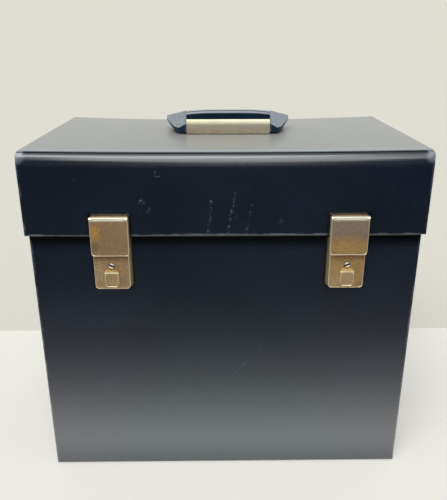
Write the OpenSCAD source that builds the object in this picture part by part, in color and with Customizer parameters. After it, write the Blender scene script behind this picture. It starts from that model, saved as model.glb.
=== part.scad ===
// Record case: a tall covered board box with an overhanging lid, two back hinges,
// a folding carrying handle and two key latches.
// Millimetres. X runs to the right, Y to the back, Z up.
// The origin is the centre of the box's footprint, on the surface that it stands on.

/* [Box] */
// Width of the box over its covering
box_w = 353; // [300:1:400]
// Depth of the box over its covering
box_d = 183; // [150:1:240]
// Height of the box rim over its covering
box_h = 257; // [220:1:320]
// Height of the lid over its covering
lid_h = 77.7; // [66:0.1:110]
// How far the lid stands out past the box at the front and sides
lid_overhang = 3; // [1.5:0.1:5]
// Gap between the rim of the box and the lid
lid_gap = 0.3; // [0.2:0.05:1]

/* [Walls] */
// Thickness of the boards
board_t = 6; // [4:0.5:8]
// Thickness of the leathercloth covering
covering_t = 0.8; // [0.5:0.1:1.2]
// Width of covering turned under the base
turn_under = 18; // [10:1:30]
// Thickness of the liner cards in the box
liner_t = 2; // [1:0.1:3]
// Height of the liner collar above the rim
collar_rise = 10; // [4:0.5:16]
// Thickness of the pad on the base board
pad_t = 1.5; // [0.5:0.1:4]
// Thickness of the paper lining in the lid
lining_t = 1; // [0.5:0.1:1.5]

/* [Edges] */
// Radius of the upright edges of the box
box_corner_r = 1.2; // [0.8:0.1:4.5]
// Radius of the bottom edges of the box
box_foot_r = 2; // [1:0.1:3]
// Radius of the rim edges of the box
rim_r = 1.5; // [1:0.1:2.5]
// Radius of the upright edges of the lid
lid_corner_r = 1.2; // [0.8:0.1:6]
// Radius of the front top edge of the lid
lid_front_r = 9; // [6:0.1:11]
// Radius of the side top edges of the lid
lid_side_r = 4; // [2:0.1:6]
// Radius of the back top edge of the lid
lid_back_r = 3; // [2:0.1:5]
// Radius of the lower edges of the lid
lid_lip_r = 1.5; // [1:0.1:2.5]
// Radius of the crease along the front top edge
crease_r = 1; // [0.5:0.1:1.4]
// Angle of the crease round the front top edge, from the front
crease_angle = 48; // [30:1:60]

/* [Rivets] */
// Radius of a rivet shank
rivet_r = 1.6; // [1.2:0.1:2]
// Radius of a rivet head
rivet_head_r = 2.6; // [2.2:0.1:3]
// Height of a rivet head
rivet_head_h = 0.8; // [0.5:0.1:1]
// Thickness of the clenched end of a rivet
rivet_tail_h = 1; // [0.6:0.1:1.4]

/* [Back hinges] */
// Distance from the middle of a hinge to the nearer side of the box
hinge_inset = 65; // [40:1:90]
// Width of a hinge leaf
hinge_w = 40; // [30:1:50]
// Height of a hinge leaf from the pin
hinge_leaf_h = 22; // [16:0.5:30]
// Thickness of a hinge leaf
hinge_leaf_t = 1; // [0.8:0.1:1.4]
// Radius of the hinge barrel
hinge_barrel_r = 2.2; // [1.9:0.1:2.6]
// Radius of the hinge pin
hinge_pin_r = 1.1; // [0.8:0.1:1.3]
// Gap between the hinge barrel and the back of the case
hinge_standoff = 0.3; // [0.3:0.1:1]
// Width of the middle knuckle
hinge_mid_w = 13; // [9:0.5:18]

/* [Handle] */
// How far the handle and latches sit to the right of the middle
fittings_shift = 3.2; // [-6:0.1:6]
// How far the handle pins lie behind the middle of the box
handle_back = 11; // [0:0.5:20]
// Height of the handle pins above the lid
handle_pin_rise = 7.5; // [7:0.1:9]
// Distance from the handle pins to the outer face of the grip
handle_reach = 33; // [31:0.5:40]
// Length of the grip between the splayed ends
grip_l = 81.4; // [70:0.2:110]
// Thickness of the grip from its outer face to the fingers
grip_t = 18.5; // [15:0.5:20]
// Height of the folded grip above the lid
grip_rise = 22.2; // [20:0.1:26]
// Radius of the curved upper part of the grip's outer face
grip_face_r = 11.7; // [10:0.1:14]
// Height above the lid at which the grip's outer face begins to curve
grip_face_low = 8.7; // [6:0.1:11]
// Radius of the outer top edge of the grip's crown
crown_front_r = 3; // [1:0.1:4]
// Radius of the inner top edge of the grip's crown
crown_back_r = 8; // [3:0.1:9]
// Gap between the folded grip and the lid
handle_rest_gap = 1.6; // [0.3:0.1:2.2]
// How far each end splays out past the grip
splay_l = 22.1; // [18:0.1:28]
// Radius of the handle pins
handle_pin_r = 1.75; // [1.2:0.05:2]
// Height of the metal trim plate
trim_h = 12.3; // [10:0.1:15]
// Height of the lower edge of the trim plate above the lid
trim_low = 2.2; // [1.9:0.1:3]
// Thickness of the metal trim plate
trim_t = 0.9; // [0.6:0.1:1.2]
// Depth that the trim plate is let into the grip
trim_sunk = 0.5; // [0.2:0.05:0.5]

/* [Latches] */
// Distance from the middle of a latch to the nearer side of the box, with no shift
latch_inset = 70.5; // [40:0.1:90]
// Width of a hinged flap
flap_w = 34; // [30:0.2:40]
// Height of a hinged flap
flap_h = 36.8; // [33:0.1:40]
// How far the flap hangs below the edge of the lid
flap_drop = 17.3; // [15:0.1:19]
// Thickness of the flap metal
flap_t = 0.8; // [0.6:0.05:0.9]
// Radius of the rolled top of the flap
flap_roll_r = 2.6; // [2.5:0.05:3.2]
// Radius of the lower corners of the flap
flap_corner_r = 3; // [1:0.1:5]
// Radius of the flap's pin
flap_pin_r = 0.9; // [0.6:0.05:0.95]
// Width of a lock case
lock_w = 32.2; // [29:0.2:33]
// Distance from the top of a lock case to its bottom
lock_h = 47.5; // [46:0.1:54]
// How far the top of the lock case lies below the lid
lock_below = 2.8; // [1:0.1:4]
// Depth of a lock case from the box to its front
lock_d = 7.5; // [7:0.1:8]
// Thickness of the lock metal
lock_t = 0.8; // [0.6:0.05:1]
// How far the back plate stands out round a lock case
lock_flange = 1.4; // [0:0.1:3]
// Radius of the lower corners of the lock case
lock_corner_r = 3.5; // [1:0.1:6]

/* [Lock parts] */
// Radius of the key plug
plug_r = 2.9; // [2.2:0.1:3.2]
// Height of the key plug above the bottom of the lock case
plug_up = 23.7; // [23.3:0.1:25]
// How far the key plug stands out of the lock case
plug_proud = 0.7; // [0.2:0.1:1.4]
// Angle of the left keyhole slot
keyhole_left = -25; // [-90:1:90]
// Angle of the right keyhole slot
keyhole_right = 20; // [-90:1:90]
// Width of the press button
button_w = 12.6; // [10:0.2:15]
// Height of the raised pad of the press button
button_pad_h = 14; // [9:0.1:14.3]
// Height of the sloping top of the press button
button_ramp_h = 2.8; // [2:0.1:3.2]
// Height of the press button above the bottom of the lock case
button_up = 3.4; // [3:0.1:3.7]
// Thickness of the press button at its pad
button_t = 2.4; // [1.8:0.1:3]
// Travel of the press button
button_travel = 2.2; // [1:0.1:2.4]
// Running gap between moving parts of the lock
lock_gap = 0.3; // [0.25:0.05:0.4]

/* [Hidden] */
$fn = 64;
// Overshoot of a cut past the face that it opens
cut = 1;
// A length past everything in the model
far = 600;

// Outer faces of the box
box_x = box_w / 2;
box_y = box_d / 2;
// Inner faces of the box boards
well_x = box_x - covering_t - board_t;
well_y = box_y - covering_t - board_t;
floor_z = covering_t + board_t;
pad_z = floor_z + pad_t;
// Outer faces of the lid
lid_x = box_x + lid_overhang;
lid_front = -box_y - lid_overhang;
lid_back = box_y;
lid_bottom = box_h + lid_gap;
lid_top = lid_bottom + lid_h;
// Inner faces of the lid boards
lid_in_x = lid_x - covering_t - board_t;
lid_in_front = lid_front + covering_t + board_t;
lid_in_back = lid_back - covering_t - board_t;
lid_in_top = lid_top - covering_t - board_t;
// Crease line on the rounded front top edge
crease_y = lid_front + lid_front_r - lid_front_r * cos(crease_angle);
crease_z = lid_top - lid_front_r + lid_front_r * sin(crease_angle);
// Hinge line
hinge_spacing = box_w - 2 * hinge_inset;
hinge_y = box_y + hinge_standoff + hinge_barrel_r;
hinge_z = box_h + lid_gap / 2;
hinge_play = 0.1;
knuckle_gap = 0.4;
hinge_rivet_z = hinge_leaf_h * 0.55;
hinge_rivet_x = hinge_w / 2 - 6;
// Handle
handle_y = handle_back;
handle_z = lid_top + handle_pin_rise;
grip_half = grip_l / 2;
ear_t = 2.4;
ear_r = 4.5;
ear_gap = 0.4;
ear_in = grip_half - 0.8;
wing_in = ear_in + ear_t + ear_gap;
boss_r = 6;
bracket_t = 1;
bracket_d = 14;
bracket_in = ear_in - 14.2;
bracket_rivet_x = bracket_in + 4.5;
bracket_rivet_y = 3.4;
handle_head_r = 3;
handle_head_t = 1.6;
handle_bore_r = handle_pin_r + hinge_play;
handle_pin_in_wing = 11;
// Angle that the handle swings through, which its ends are sloped for
handle_open = 150;
backing_t = 1.2;
backing_d = 16;
grip_face_y = -handle_reach + grip_face_r;
trim_top = trim_low + trim_h;
crown_front = grip_face_y - sqrt(pow(grip_face_r, 2) - pow(trim_top - grip_face_low, 2));
crown_back = -handle_reach + grip_t;
// Latches
latch_spacing = box_w - 2 * latch_inset;
latch_x = [fittings_shift - latch_spacing / 2, fittings_shift + latch_spacing / 2];
flap_bottom = lid_bottom - flap_drop;
flap_top = flap_bottom + flap_h;
hasp_plate_t = 0.8;
flap_axis_y = lid_front - hasp_plate_t - lock_gap - flap_roll_r;
flap_axis_z = flap_top - flap_roll_r;
flap_face = flap_axis_y - flap_roll_r;
flap_skirt_back = lid_front - 0.5;
flap_edge_r = 1.2;
hasp_half = flap_w / 2 - flap_t - 0.5;
hasp_lip_back = flap_roll_r * 0.86;
hasp_top = flap_axis_z - 4;
hasp_low = lid_bottom + 1.2;
hasp_ear_r = flap_roll_r - flap_t - lock_gap;
hasp_ear_t = 1.2;
hasp_ear_x = hasp_half - 4;
hasp_rivet_x = 8;
hasp_rivet_z = (hasp_top + hasp_low) / 2;
lock_top = lid_bottom - lock_below;
lock_bottom = lock_top - lock_h;
lock_front = -box_y - lock_d;
lock_inner_front = lock_front + lock_t;
lock_back_front = -box_y - lock_t;
lock_half = lock_w / 2;
lock_rivet_x = lock_half - 4.6;
lock_rivet_low = lock_bottom + 5.2;
lock_rivet_high = lock_top - 5.6;
catch_half = 3.5;
catch_t = 0.8;
catch_tip_y = -box_y - 2.5;
catch_lip_h = 4.2;
catch_low = flap_bottom + 4;
catch_slot_half = catch_half + 1.1;
catch_slot_low = catch_low - 0.6;
plug_z = lock_bottom + plug_up;
plug_bore_r = plug_r + 0.1;
plug_back = lock_back_front - 2.2;
cam_t = 0.8;
cam_l = 7.5;
cam_half = 1.6;
button_half = button_w / 2;
button_low = lock_bottom + button_up;
button_ledge = button_low + button_pad_h;
button_top = button_ledge + button_ramp_h;
button_back = lock_front - lock_gap;
button_neck_half = 3.2;
button_neck_low = button_low + 1.2;
button_neck_top = button_ledge - 1.7;
slide_half = 7;
slide_t = 0.8;
slide_front = lock_inner_front + lock_gap;
slide_back = slide_front + slide_t;
slide_low = lock_bottom + lock_t + lock_gap + button_travel;
slide_top = catch_slot_low - 2.8;
nose_top = catch_slot_low - 0.1;
spring_r = 1.35;
spring_wire = 0.25;
spring_y = slide_back + spring_r + spring_wire + 0.2;
spring_turns = 5;
spring_foot = lock_bottom + lock_t;
tab_low = button_ledge - 4.7;
tab_t = 0.8;

vinyl = [0.11, 0.13, 0.19];
wood = [0.72, 0.58, 0.4];
card = [0.35, 0.36, 0.38];
paper = [0.55, 0.55, 0.52];
brass = [0.66, 0.55, 0.36];
steel = [0.6, 0.6, 0.62];
trim_metal = [0.78, 0.74, 0.62];
plastic = [0.08, 0.14, 0.25];

// A box between two opposite corners
module block(low, high) {
    translate(low) cube([high[0] - low[0], high[1] - low[1], high[2] - low[2]]);
}

// The waste outside a rounded corner at p, with the shape lying towards side
module corner_waste(p, side, r) {
    if (r > 0) difference() {
        translate([side[0] > 0 ? p[0] - cut : p[0] - r, side[1] > 0 ? p[1] - cut : p[1] - r])
            square(r + cut);
        translate([p[0] + side[0] * r, p[1] + side[1] * r]) circle(r);
    }
}

// A rectangle with its own radius at each corner: low left, low right, high right, high left
module round_rect(low, high, r) {
    difference() {
        translate(low) square([high[0] - low[0], high[1] - low[1]]);
        corner_waste(low, [1, 1], r[0]);
        corner_waste([high[0], low[1]], [-1, 1], r[1]);
        corner_waste(high, [-1, -1], r[2]);
        corner_waste([low[0], high[1]], [1, -1], r[3]);
    }
}

// Extrusions whose flat outline lies in the YZ plane and in the XZ plane
module along_x(start, length) {
    translate([start, 0, 0]) rotate([90, 0, 90]) linear_extrude(length) children();
}
module along_y(start, length) {
    translate([0, start + length, 0]) rotate([90, 0, 0]) linear_extrude(length) children();
}

// A rod along X between two places, on a line at y and z
module rod_x(from, to, y, z, r) {
    translate([from, y, z]) rotate([0, 90, 0]) cylinder(r = r, h = to - from);
}

// A rivet on the Z axis: its head lies below zero and its clenched end at the grip's length
module rivet(grip) {
    translate([0, 0, -rivet_head_h]) cylinder(r = rivet_head_r, h = rivet_head_h);
    translate([0, 0, -rivet_head_h / 2]) cylinder(r = rivet_r, h = grip + rivet_head_h / 2);
    translate([0, 0, grip - rivet_tail_h]) cylinder(r = rivet_head_r, h = rivet_tail_h);
}

// The hole that a rivet fills below its head
module rivet_hole(grip) {
    cylinder(r = rivet_r, h = grip);
    translate([0, 0, grip - rivet_tail_h]) cylinder(r = rivet_head_r, h = rivet_tail_h + cut);
}

module at_front(x, y, z) {
    translate([x, y, z]) rotate([-90, 0, 0]) children();
}
module at_back(x, y, z) {
    translate([x, y, z]) rotate([90, 0, 0]) children();
}
module at_top(x, y, z) {
    translate([x, y, z]) rotate([180, 0, 0]) children();
}

// The box's outer form, drawn in by the given depth
module box_form(inset) {
    corner = max(0, box_corner_r - inset);
    foot = max(0, box_foot_r - inset);
    rim = max(0, rim_r - inset);
    intersection() {
        linear_extrude(box_h - inset)
            round_rect([-box_x + inset, -box_y + inset], [box_x - inset, box_y - inset],
                [corner, corner, corner, corner]);
        along_x(-far / 2, far)
            round_rect([-box_y + inset, inset], [box_y - inset, box_h - inset],
                [foot, foot, rim, rim]);
        along_y(-far / 2, far)
            round_rect([-box_x + inset, inset], [box_x - inset, box_h - inset],
                [foot, foot, rim, rim]);
    }
}

// The lid's outer form, drawn in by the given depth, with the crease along its front edge
module lid_form(inset) {
    corner = max(0, lid_corner_r - inset);
    front_top = max(0, lid_front_r - inset);
    back_top = max(0, lid_back_r - inset);
    side_top = max(0, lid_side_r - inset);
    lip = max(0, lid_lip_r - inset);
    difference() {
        intersection() {
            translate([0, 0, lid_bottom + inset]) linear_extrude(lid_h - 2 * inset)
                round_rect([-lid_x + inset, lid_front + inset], [lid_x - inset, lid_back - inset],
                    [corner, corner, corner, corner]);
            along_x(-far / 2, far)
                round_rect([lid_front + inset, lid_bottom + inset],
                    [lid_back - inset, lid_top - inset], [lip, lip, back_top, front_top]);
            along_y(-far / 2, far)
                round_rect([-lid_x + inset, lid_bottom + inset],
                    [lid_x - inset, lid_top - inset], [lip, lip, side_top, side_top]);
        }
        rod_x(-lid_x, lid_x, crease_y, crease_z, crease_r + inset);
    }
}

// Rivet holes shared by the pieces that the rivets join
module hinge_box_holes() {
    for (side = [-1, 1], x = [-1, 1])
        at_back(side * hinge_spacing / 2 + x * hinge_rivet_x, box_y + hinge_leaf_t,
            hinge_z - hinge_rivet_z) rivet_hole(hinge_leaf_t + covering_t + board_t);
}
module hinge_lid_holes() {
    for (side = [-1, 1], x = [-1, 1])
        at_back(side * hinge_spacing / 2 + x * hinge_rivet_x, lid_back + hinge_leaf_t,
            hinge_z + hinge_rivet_z) rivet_hole(hinge_leaf_t + covering_t + board_t);
}
module hasp_holes() {
    for (x = latch_x, side = [-1, 1])
        at_front(x + side * hasp_rivet_x, lid_front - hasp_plate_t, hasp_rivet_z)
            rivet_hole(hasp_plate_t + covering_t + board_t);
}
module lock_holes() {
    for (x = latch_x, side = [-1, 1], z = [lock_rivet_low, lock_rivet_high])
        at_front(x + side * lock_rivet_x, -box_y - lock_t, z)
            rivet_hole(lock_t + covering_t + board_t);
}
// Distance from the top of a bracket's foot to the underside of the backing plate
bracket_grip = bracket_t + covering_t + board_t + lining_t + backing_t + rivet_tail_h;
module handle_holes() {
    for (side = [-1, 1], y = [-1, 1])
        at_top(fittings_shift + side * bracket_rivet_x, handle_y + y * bracket_rivet_y,
            lid_top + bracket_t) cylinder(r = rivet_r, h = bracket_grip);
}

// Boards, covering and liners of the box
module base_board() {
    color(wood)
        block([-well_x, -well_y, covering_t], [well_x, well_y, floor_z]);
}
module front_board() {
    color(wood) difference() {
        intersection() {
            box_form(covering_t);
            block([-far / 2, -far / 2, 0], [far / 2, -well_y, far]);
        }
        lock_holes();
    }
}
module back_board() {
    color(wood) difference() {
        intersection() {
            box_form(covering_t);
            block([-far / 2, well_y, 0], [far / 2, far / 2, far]);
        }
        hinge_box_holes();
    }
}
module side_board(side) {
    color(wood) intersection() {
        box_form(covering_t);
        block([side > 0 ? well_x : -far / 2, -well_y, 0],
            [side > 0 ? far / 2 : -well_x, well_y, far]);
    }
}
module box_covering() {
    color(vinyl) difference() {
        box_form(0);
        box_form(covering_t);
        block([-well_x, -well_y, box_h / 2], [well_x, well_y, far]);
        block([-box_x + turn_under, -box_y + turn_under, -cut],
            [box_x - turn_under, box_y - turn_under, covering_t + cut]);
        lock_holes();
        hinge_box_holes();
    }
}
module base_sheet() {
    color(vinyl) block([-box_x + turn_under, -box_y + turn_under, 0],
        [box_x - turn_under, box_y - turn_under, covering_t]);
}
module base_pad() {
    color(card) block([-well_x, -well_y, floor_z], [well_x, well_y, pad_z]);
}
module liner_front() {
    color(card) block([-well_x, -well_y, pad_z], [well_x, -well_y + liner_t, box_h + collar_rise]);
}
module liner_back() {
    color(card) block([-well_x, well_y - liner_t, pad_z], [well_x, well_y, box_h]);
}
module liner_side(side) {
    color(card) block([side > 0 ? well_x - liner_t : -well_x, -well_y + liner_t, pad_z],
        [side > 0 ? well_x : -well_x + liner_t, well_y - liner_t, box_h + collar_rise]);
}

// Boards, covering and lining of the lid
module lid_top_board() {
    color(wood) difference() {
        intersection() {
            lid_form(covering_t);
            block([-far / 2, -far / 2, lid_in_top], [far / 2, far / 2, far]);
        }
        handle_holes();
    }
}
module lid_front_board() {
    color(wood) difference() {
        intersection() {
            lid_form(covering_t);
            block([-far / 2, -far / 2, 0], [far / 2, lid_in_front, lid_in_top]);
        }
        hasp_holes();
    }
}
module lid_back_board() {
    color(wood) difference() {
        intersection() {
            lid_form(covering_t);
            block([-far / 2, lid_in_back, 0], [far / 2, far / 2, lid_in_top]);
        }
        hinge_lid_holes();
    }
}
module lid_side_board(side) {
    color(wood) intersection() {
        lid_form(covering_t);
        block([side > 0 ? lid_in_x : -far / 2, lid_in_front, 0],
            [side > 0 ? far / 2 : -lid_in_x, lid_in_back, lid_in_top]);
    }
}
module lid_covering() {
    color(vinyl) difference() {
        lid_form(0);
        lid_form(covering_t);
        block([-lid_in_x, lid_in_front, 0], [lid_in_x, lid_in_back, lid_in_top]);
        hasp_holes();
        hinge_lid_holes();
        handle_holes();
    }
}
module lid_lining() {
    color(paper) difference() {
        block([-lid_in_x, lid_in_front, lid_bottom], [lid_in_x, lid_in_back, lid_in_top]);
        block([-lid_in_x + lining_t, lid_in_front + lining_t, 0],
            [lid_in_x - lining_t, lid_in_back - lining_t, lid_in_top - lining_t]);
        handle_holes();
    }
}

// Back hinges
module hinge_barrel(x, width) {
    rod_x(x - width / 2, x + width / 2, hinge_y, hinge_z, hinge_barrel_r);
}
module hinge_box_leaf(side) {
    x = side * hinge_spacing / 2;
    outer_w = (hinge_w - hinge_mid_w) / 2 - knuckle_gap;
    color(brass) difference() {
        union() {
            block([x - hinge_w / 2, box_y, hinge_z - hinge_leaf_h],
                [x + hinge_w / 2, box_y + hinge_leaf_t, hinge_z - hinge_barrel_r - knuckle_gap]);
            for (end = [-1, 1]) {
                hinge_barrel(x + end * (hinge_w - outer_w) / 2, outer_w);
                translate([x + end * (hinge_w - outer_w) / 2, 0, 0])
                    block([-outer_w / 2, box_y, hinge_z - hinge_leaf_h / 2],
                        [outer_w / 2, box_y + hinge_leaf_t, hinge_z - 0.6]);
                translate([x + end * (hinge_w - outer_w) / 2, 0, 0])
                    block([-outer_w / 2, box_y, hinge_z - hinge_barrel_r],
                        [outer_w / 2, hinge_y, hinge_z - 0.6]);
            }
        }
        rod_x(x - hinge_w, x + hinge_w, hinge_y, hinge_z, hinge_pin_r);
        hinge_box_holes();
    }
}
module hinge_lid_leaf(side) {
    x = side * hinge_spacing / 2;
    color(brass) difference() {
        union() {
            block([x - hinge_w / 2, lid_back, hinge_z + hinge_barrel_r + knuckle_gap],
                [x + hinge_w / 2, lid_back + hinge_leaf_t, hinge_z + hinge_leaf_h]);
            hinge_barrel(x, hinge_mid_w);
            block([x - hinge_mid_w / 2, lid_back, hinge_z + 0.6],
                [x + hinge_mid_w / 2, lid_back + hinge_leaf_t, hinge_z + hinge_leaf_h / 2]);
            block([x - hinge_mid_w / 2, lid_back, hinge_z + 0.6],
                [x + hinge_mid_w / 2, hinge_y, hinge_z + hinge_barrel_r]);
        }
        rod_x(x - hinge_w, x + hinge_w, hinge_y, hinge_z, hinge_pin_r + hinge_play);
        hinge_lid_holes();
    }
}
module hinge_pin(side) {
    x = side * hinge_spacing / 2;
    color(steel) rod_x(x - hinge_w / 2, x + hinge_w / 2, hinge_y, hinge_z, hinge_pin_r);
}
module hinge_box_rivets() {
    color(brass) for (side = [-1, 1], x = [-1, 1])
        at_back(side * hinge_spacing / 2 + x * hinge_rivet_x, box_y + hinge_leaf_t,
            hinge_z - hinge_rivet_z) rivet(hinge_leaf_t + covering_t + board_t);
}
module hinge_lid_rivets() {
    color(brass) for (side = [-1, 1], x = [-1, 1])
        at_back(side * hinge_spacing / 2 + x * hinge_rivet_x, lid_back + hinge_leaf_t,
            hinge_z + hinge_rivet_z) rivet(hinge_leaf_t + covering_t + board_t);
}

// Carrying handle, folded to the front; Y and Z are measured from its pins and from the lid
module grip_face(grow) {
    translate([grip_face_y, grip_face_low]) circle(grip_face_r + grow);
    translate([-handle_reach - grow, -grip_rise])
        square([handle_reach + grow + grip_face_y, grip_rise + grip_face_low]);
}
module trim_section(grow) {
    intersection() {
        grip_face(grow);
        translate([-handle_reach - cut, trim_low]) square([grip_face_r + cut, trim_h]);
    }
}
module grip_bar() {
    back_r = 3;
    along_x(-grip_half, grip_l) {
        intersection() {
            grip_face(0);
            round_rect([-handle_reach, handle_rest_gap], [crown_back, grip_rise - crown_back_r],
                [1, back_r, 0, 0]);
        }
        round_rect([crown_front, handle_rest_gap + 1], [crown_back, grip_rise],
            [0, back_r, crown_back_r, crown_front_r]);
    }
}
// One splayed end, on the right hand side
module grip_end() {
    tip = grip_half + splay_l;
    roof_out = 29;
    roof_back = 21;
    under_out = -57;
    under_back = -10;
    difference() {
        intersection() {
            translate([0, 0, -grip_rise]) linear_extrude(3 * grip_rise)
                polygon([[grip_half - cut, -handle_reach], [grip_half + 7.5, -handle_reach + 0.5],
                    [grip_half + 12.5, -handle_reach + 7], [tip - 0.4, -4], [tip, boss_r + cut],
                    [wing_in, boss_r + cut], [wing_in, -8],
                    [grip_half - cut, -handle_reach + grip_t]]);
            along_x(0, 2 * tip) {
                translate([0, handle_pin_rise]) circle(boss_r);
                difference() {
                    round_rect([-handle_reach, handle_rest_gap], [boss_r * 0.5, grip_rise - 2],
                        [1, 0, 0, 0]);
                    translate([0, handle_pin_rise]) rotate(handle_open)
                        translate([-far / 2, -boss_r - far]) square(far);
                }
            }
        }
        block([0, -boss_r * 0.5, -grip_rise],
            [2 * tip, boss_r + cut, handle_pin_rise - boss_r * 0.866]);
        translate([tip, -1, handle_pin_rise + boss_r - 1.3]) rotate([roof_back, roof_out, 0])
            block([-far / 4, -far / 4, 0], [far / 4, far / 4, far / 4]);
        translate([tip, -1, handle_pin_rise + boss_r - 3.9]) rotate([under_back, under_out, 0])
            block([-far / 4, -far / 4, -far / 4], [far / 4, far / 4, 0]);
        rod_x(wing_in - cut, wing_in + handle_pin_in_wing + ear_gap, 0, handle_pin_rise,
            handle_bore_r);
    }
}
module handle_grip() {
    color(plastic) translate([fittings_shift, handle_y, lid_top]) difference() {
        union() {
            grip_bar();
            grip_end();
            mirror([1, 0, 0]) grip_end();
        }
        along_x(-grip_half, grip_l) difference() {
            trim_section(cut);
            trim_section(-trim_sunk);
        }
    }
}
module handle_trim() {
    color(trim_metal) translate([fittings_shift, handle_y, lid_top])
        along_x(-grip_half, grip_l) difference() {
            trim_section(trim_t - trim_sunk);
            trim_section(-trim_sunk);
        }
}
module at_handle_side(side) {
    translate([fittings_shift, handle_y, lid_top]) mirror([side < 0 ? 1 : 0, 0, 0]) children();
}
module handle_bracket(side) {
    color(steel) difference() {
        at_handle_side(side) difference() {
            union() {
                block([bracket_in, -bracket_d / 2, 0], [ear_in + ear_t, bracket_d / 2, bracket_t]);
                rod_x(ear_in, ear_in + ear_t, 0, handle_pin_rise, ear_r);
                block([ear_in, -ear_r, 0], [ear_in + ear_t, ear_r, handle_pin_rise]);
            }
            rod_x(ear_in - cut, ear_in + ear_t + cut, 0, handle_pin_rise, handle_pin_r);
        }
        handle_holes();
    }
}
module handle_pin(side) {
    color(steel) at_handle_side(side) {
        rod_x(ear_in - handle_head_t, ear_in, 0, handle_pin_rise, handle_head_r);
        rod_x(ear_in - handle_head_t / 2, wing_in + handle_pin_in_wing, 0, handle_pin_rise,
            handle_pin_r);
    }
}
module handle_rivets() {
    color(steel) for (side = [-1, 1], y = [-1, 1])
        at_top(fittings_shift + side * bracket_rivet_x, handle_y + y * bracket_rivet_y,
            lid_top + bracket_t) rivet(bracket_grip);
}
module handle_backing_plate() {
    color(steel) difference() {
        translate([fittings_shift, handle_y, lid_in_top - lining_t])
            block([-ear_in, -backing_d / 2, -backing_t], [ear_in, backing_d / 2, 0]);
        handle_holes();
    }
}

// Latches; each module draws one latch at the given place along X
module hasp_plate(x) {
    color(brass) difference() {
        translate([x, 0, 0]) union() {
            block([-hasp_half, lid_front - hasp_plate_t, hasp_low],
                [hasp_half, lid_front, flap_top]);
            difference() {
                block([-hasp_half, flap_axis_y + hasp_lip_back, flap_axis_z],
                    [hasp_half, lid_front, flap_top]);
                rod_x(-hasp_half - cut, hasp_half + cut, flap_axis_y, flap_axis_z,
                    flap_roll_r + lock_gap);
            }
            for (side = [-1, 1]) {
                rod_x(side * hasp_ear_x - hasp_ear_t / 2, side * hasp_ear_x + hasp_ear_t / 2,
                    flap_axis_y, flap_axis_z, hasp_ear_r);
                along_x(side * hasp_ear_x - hasp_ear_t / 2, hasp_ear_t)
                    polygon([[flap_axis_y - hasp_ear_r * 0.75, flap_axis_z - hasp_ear_r * 0.6],
                        [flap_axis_y + hasp_ear_r * 0.75, flap_axis_z - hasp_ear_r * 0.66],
                        [lid_front, hasp_top], [lid_front, hasp_low + 2],
                        [lid_front - hasp_plate_t, hasp_low + 2],
                        [flap_axis_y - hasp_ear_r * 0.75, flap_axis_z - hasp_ear_r * 1.6]]);
            }
        }
        rod_x(x - hasp_half, x + hasp_half, flap_axis_y, flap_axis_z, flap_pin_r + hinge_play);
        hasp_holes();
    }
}
// Side outline of the flap, drawn in by the given depth
module flap_side(inset) {
    translate([flap_axis_y, flap_axis_z]) circle(flap_roll_r - inset);
    round_rect([flap_face + inset, flap_bottom + inset],
        [flap_skirt_back + inset * 20, flap_axis_z],
        [max(0, 1.6 - inset), inset > 0 ? 0 : 2, 0, 0]);
}
module hasp_flap(x) {
    half = flap_w / 2;
    in_half = half - flap_t + 0.1;
    color(brass) translate([x, 0, 0]) difference() {
        intersection() {
            along_y(flap_face - cut, flap_skirt_back - flap_face + 2 * cut)
                round_rect([-half, flap_bottom], [half, flap_top],
                    [flap_corner_r, flap_corner_r, 0.6, 0.6]);
            translate([0, 0, flap_bottom]) linear_extrude(flap_h)
                round_rect([-half, flap_face], [half, flap_skirt_back + cut],
                    [flap_edge_r, flap_edge_r, 0, 0]);
            along_x(-half, flap_w) flap_side(0);
        }
        intersection() {
            along_y(flap_face, far / 2)
                round_rect([-in_half, flap_bottom + flap_t], [in_half, flap_top + cut],
                    [flap_corner_r - flap_t, flap_corner_r - flap_t, 0, 0]);
            along_x(-in_half, 2 * in_half) flap_side(flap_t);
        }
        block([-in_half, flap_axis_y + 1.5, flap_axis_z], [in_half, 0, flap_top + cut]);
        for (side = [-1, 1]) translate([side * hasp_ear_x, 0, 0])
            block([-hasp_ear_t / 2 - 0.4, flap_axis_y + 0.5, flap_axis_z],
                [hasp_ear_t / 2 + 0.4, 0, flap_top + cut]);
        block([-in_half, lock_front - lock_gap, flap_bottom - cut], [in_half, 0, flap_axis_z]);
        rod_x(-half - cut, half + cut, flap_axis_y, flap_axis_z, flap_pin_r);
    }
}
module hasp_pin(x) {
    color(steel) rod_x(x - flap_w / 2, x + flap_w / 2, flap_axis_y, flap_axis_z, flap_pin_r);
}
module hasp_catch(x) {
    base = flap_face + flap_t;
    color(steel) translate([x, 0, 0]) {
        block([-catch_half, base, catch_low + 0.5], [catch_half, base + catch_t, catch_low + 9.5]);
        block([-catch_half, base, catch_low + catch_lip_h - 1.2],
            [catch_half, catch_tip_y, catch_low + catch_lip_h]);
        block([-catch_half, catch_tip_y - catch_t, catch_low],
            [catch_half, catch_tip_y, catch_low + catch_lip_h]);
    }
}
module hasp_rivets() {
    color(brass) for (x = latch_x, side = [-1, 1])
        at_front(x + side * hasp_rivet_x, lid_front - hasp_plate_t, hasp_rivet_z)
            rivet(hasp_plate_t + covering_t + board_t);
}
module lock_back(x) {
    color(steel) difference() {
        along_y(lock_back_front, lock_t) translate([x, 0])
            round_rect([-lock_half - lock_flange, lock_bottom - lock_flange],
                [lock_half + lock_flange, lock_top],
                [lock_corner_r + lock_flange, lock_corner_r + lock_flange, 0, 0]);
        lock_holes();
    }
}
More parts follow.
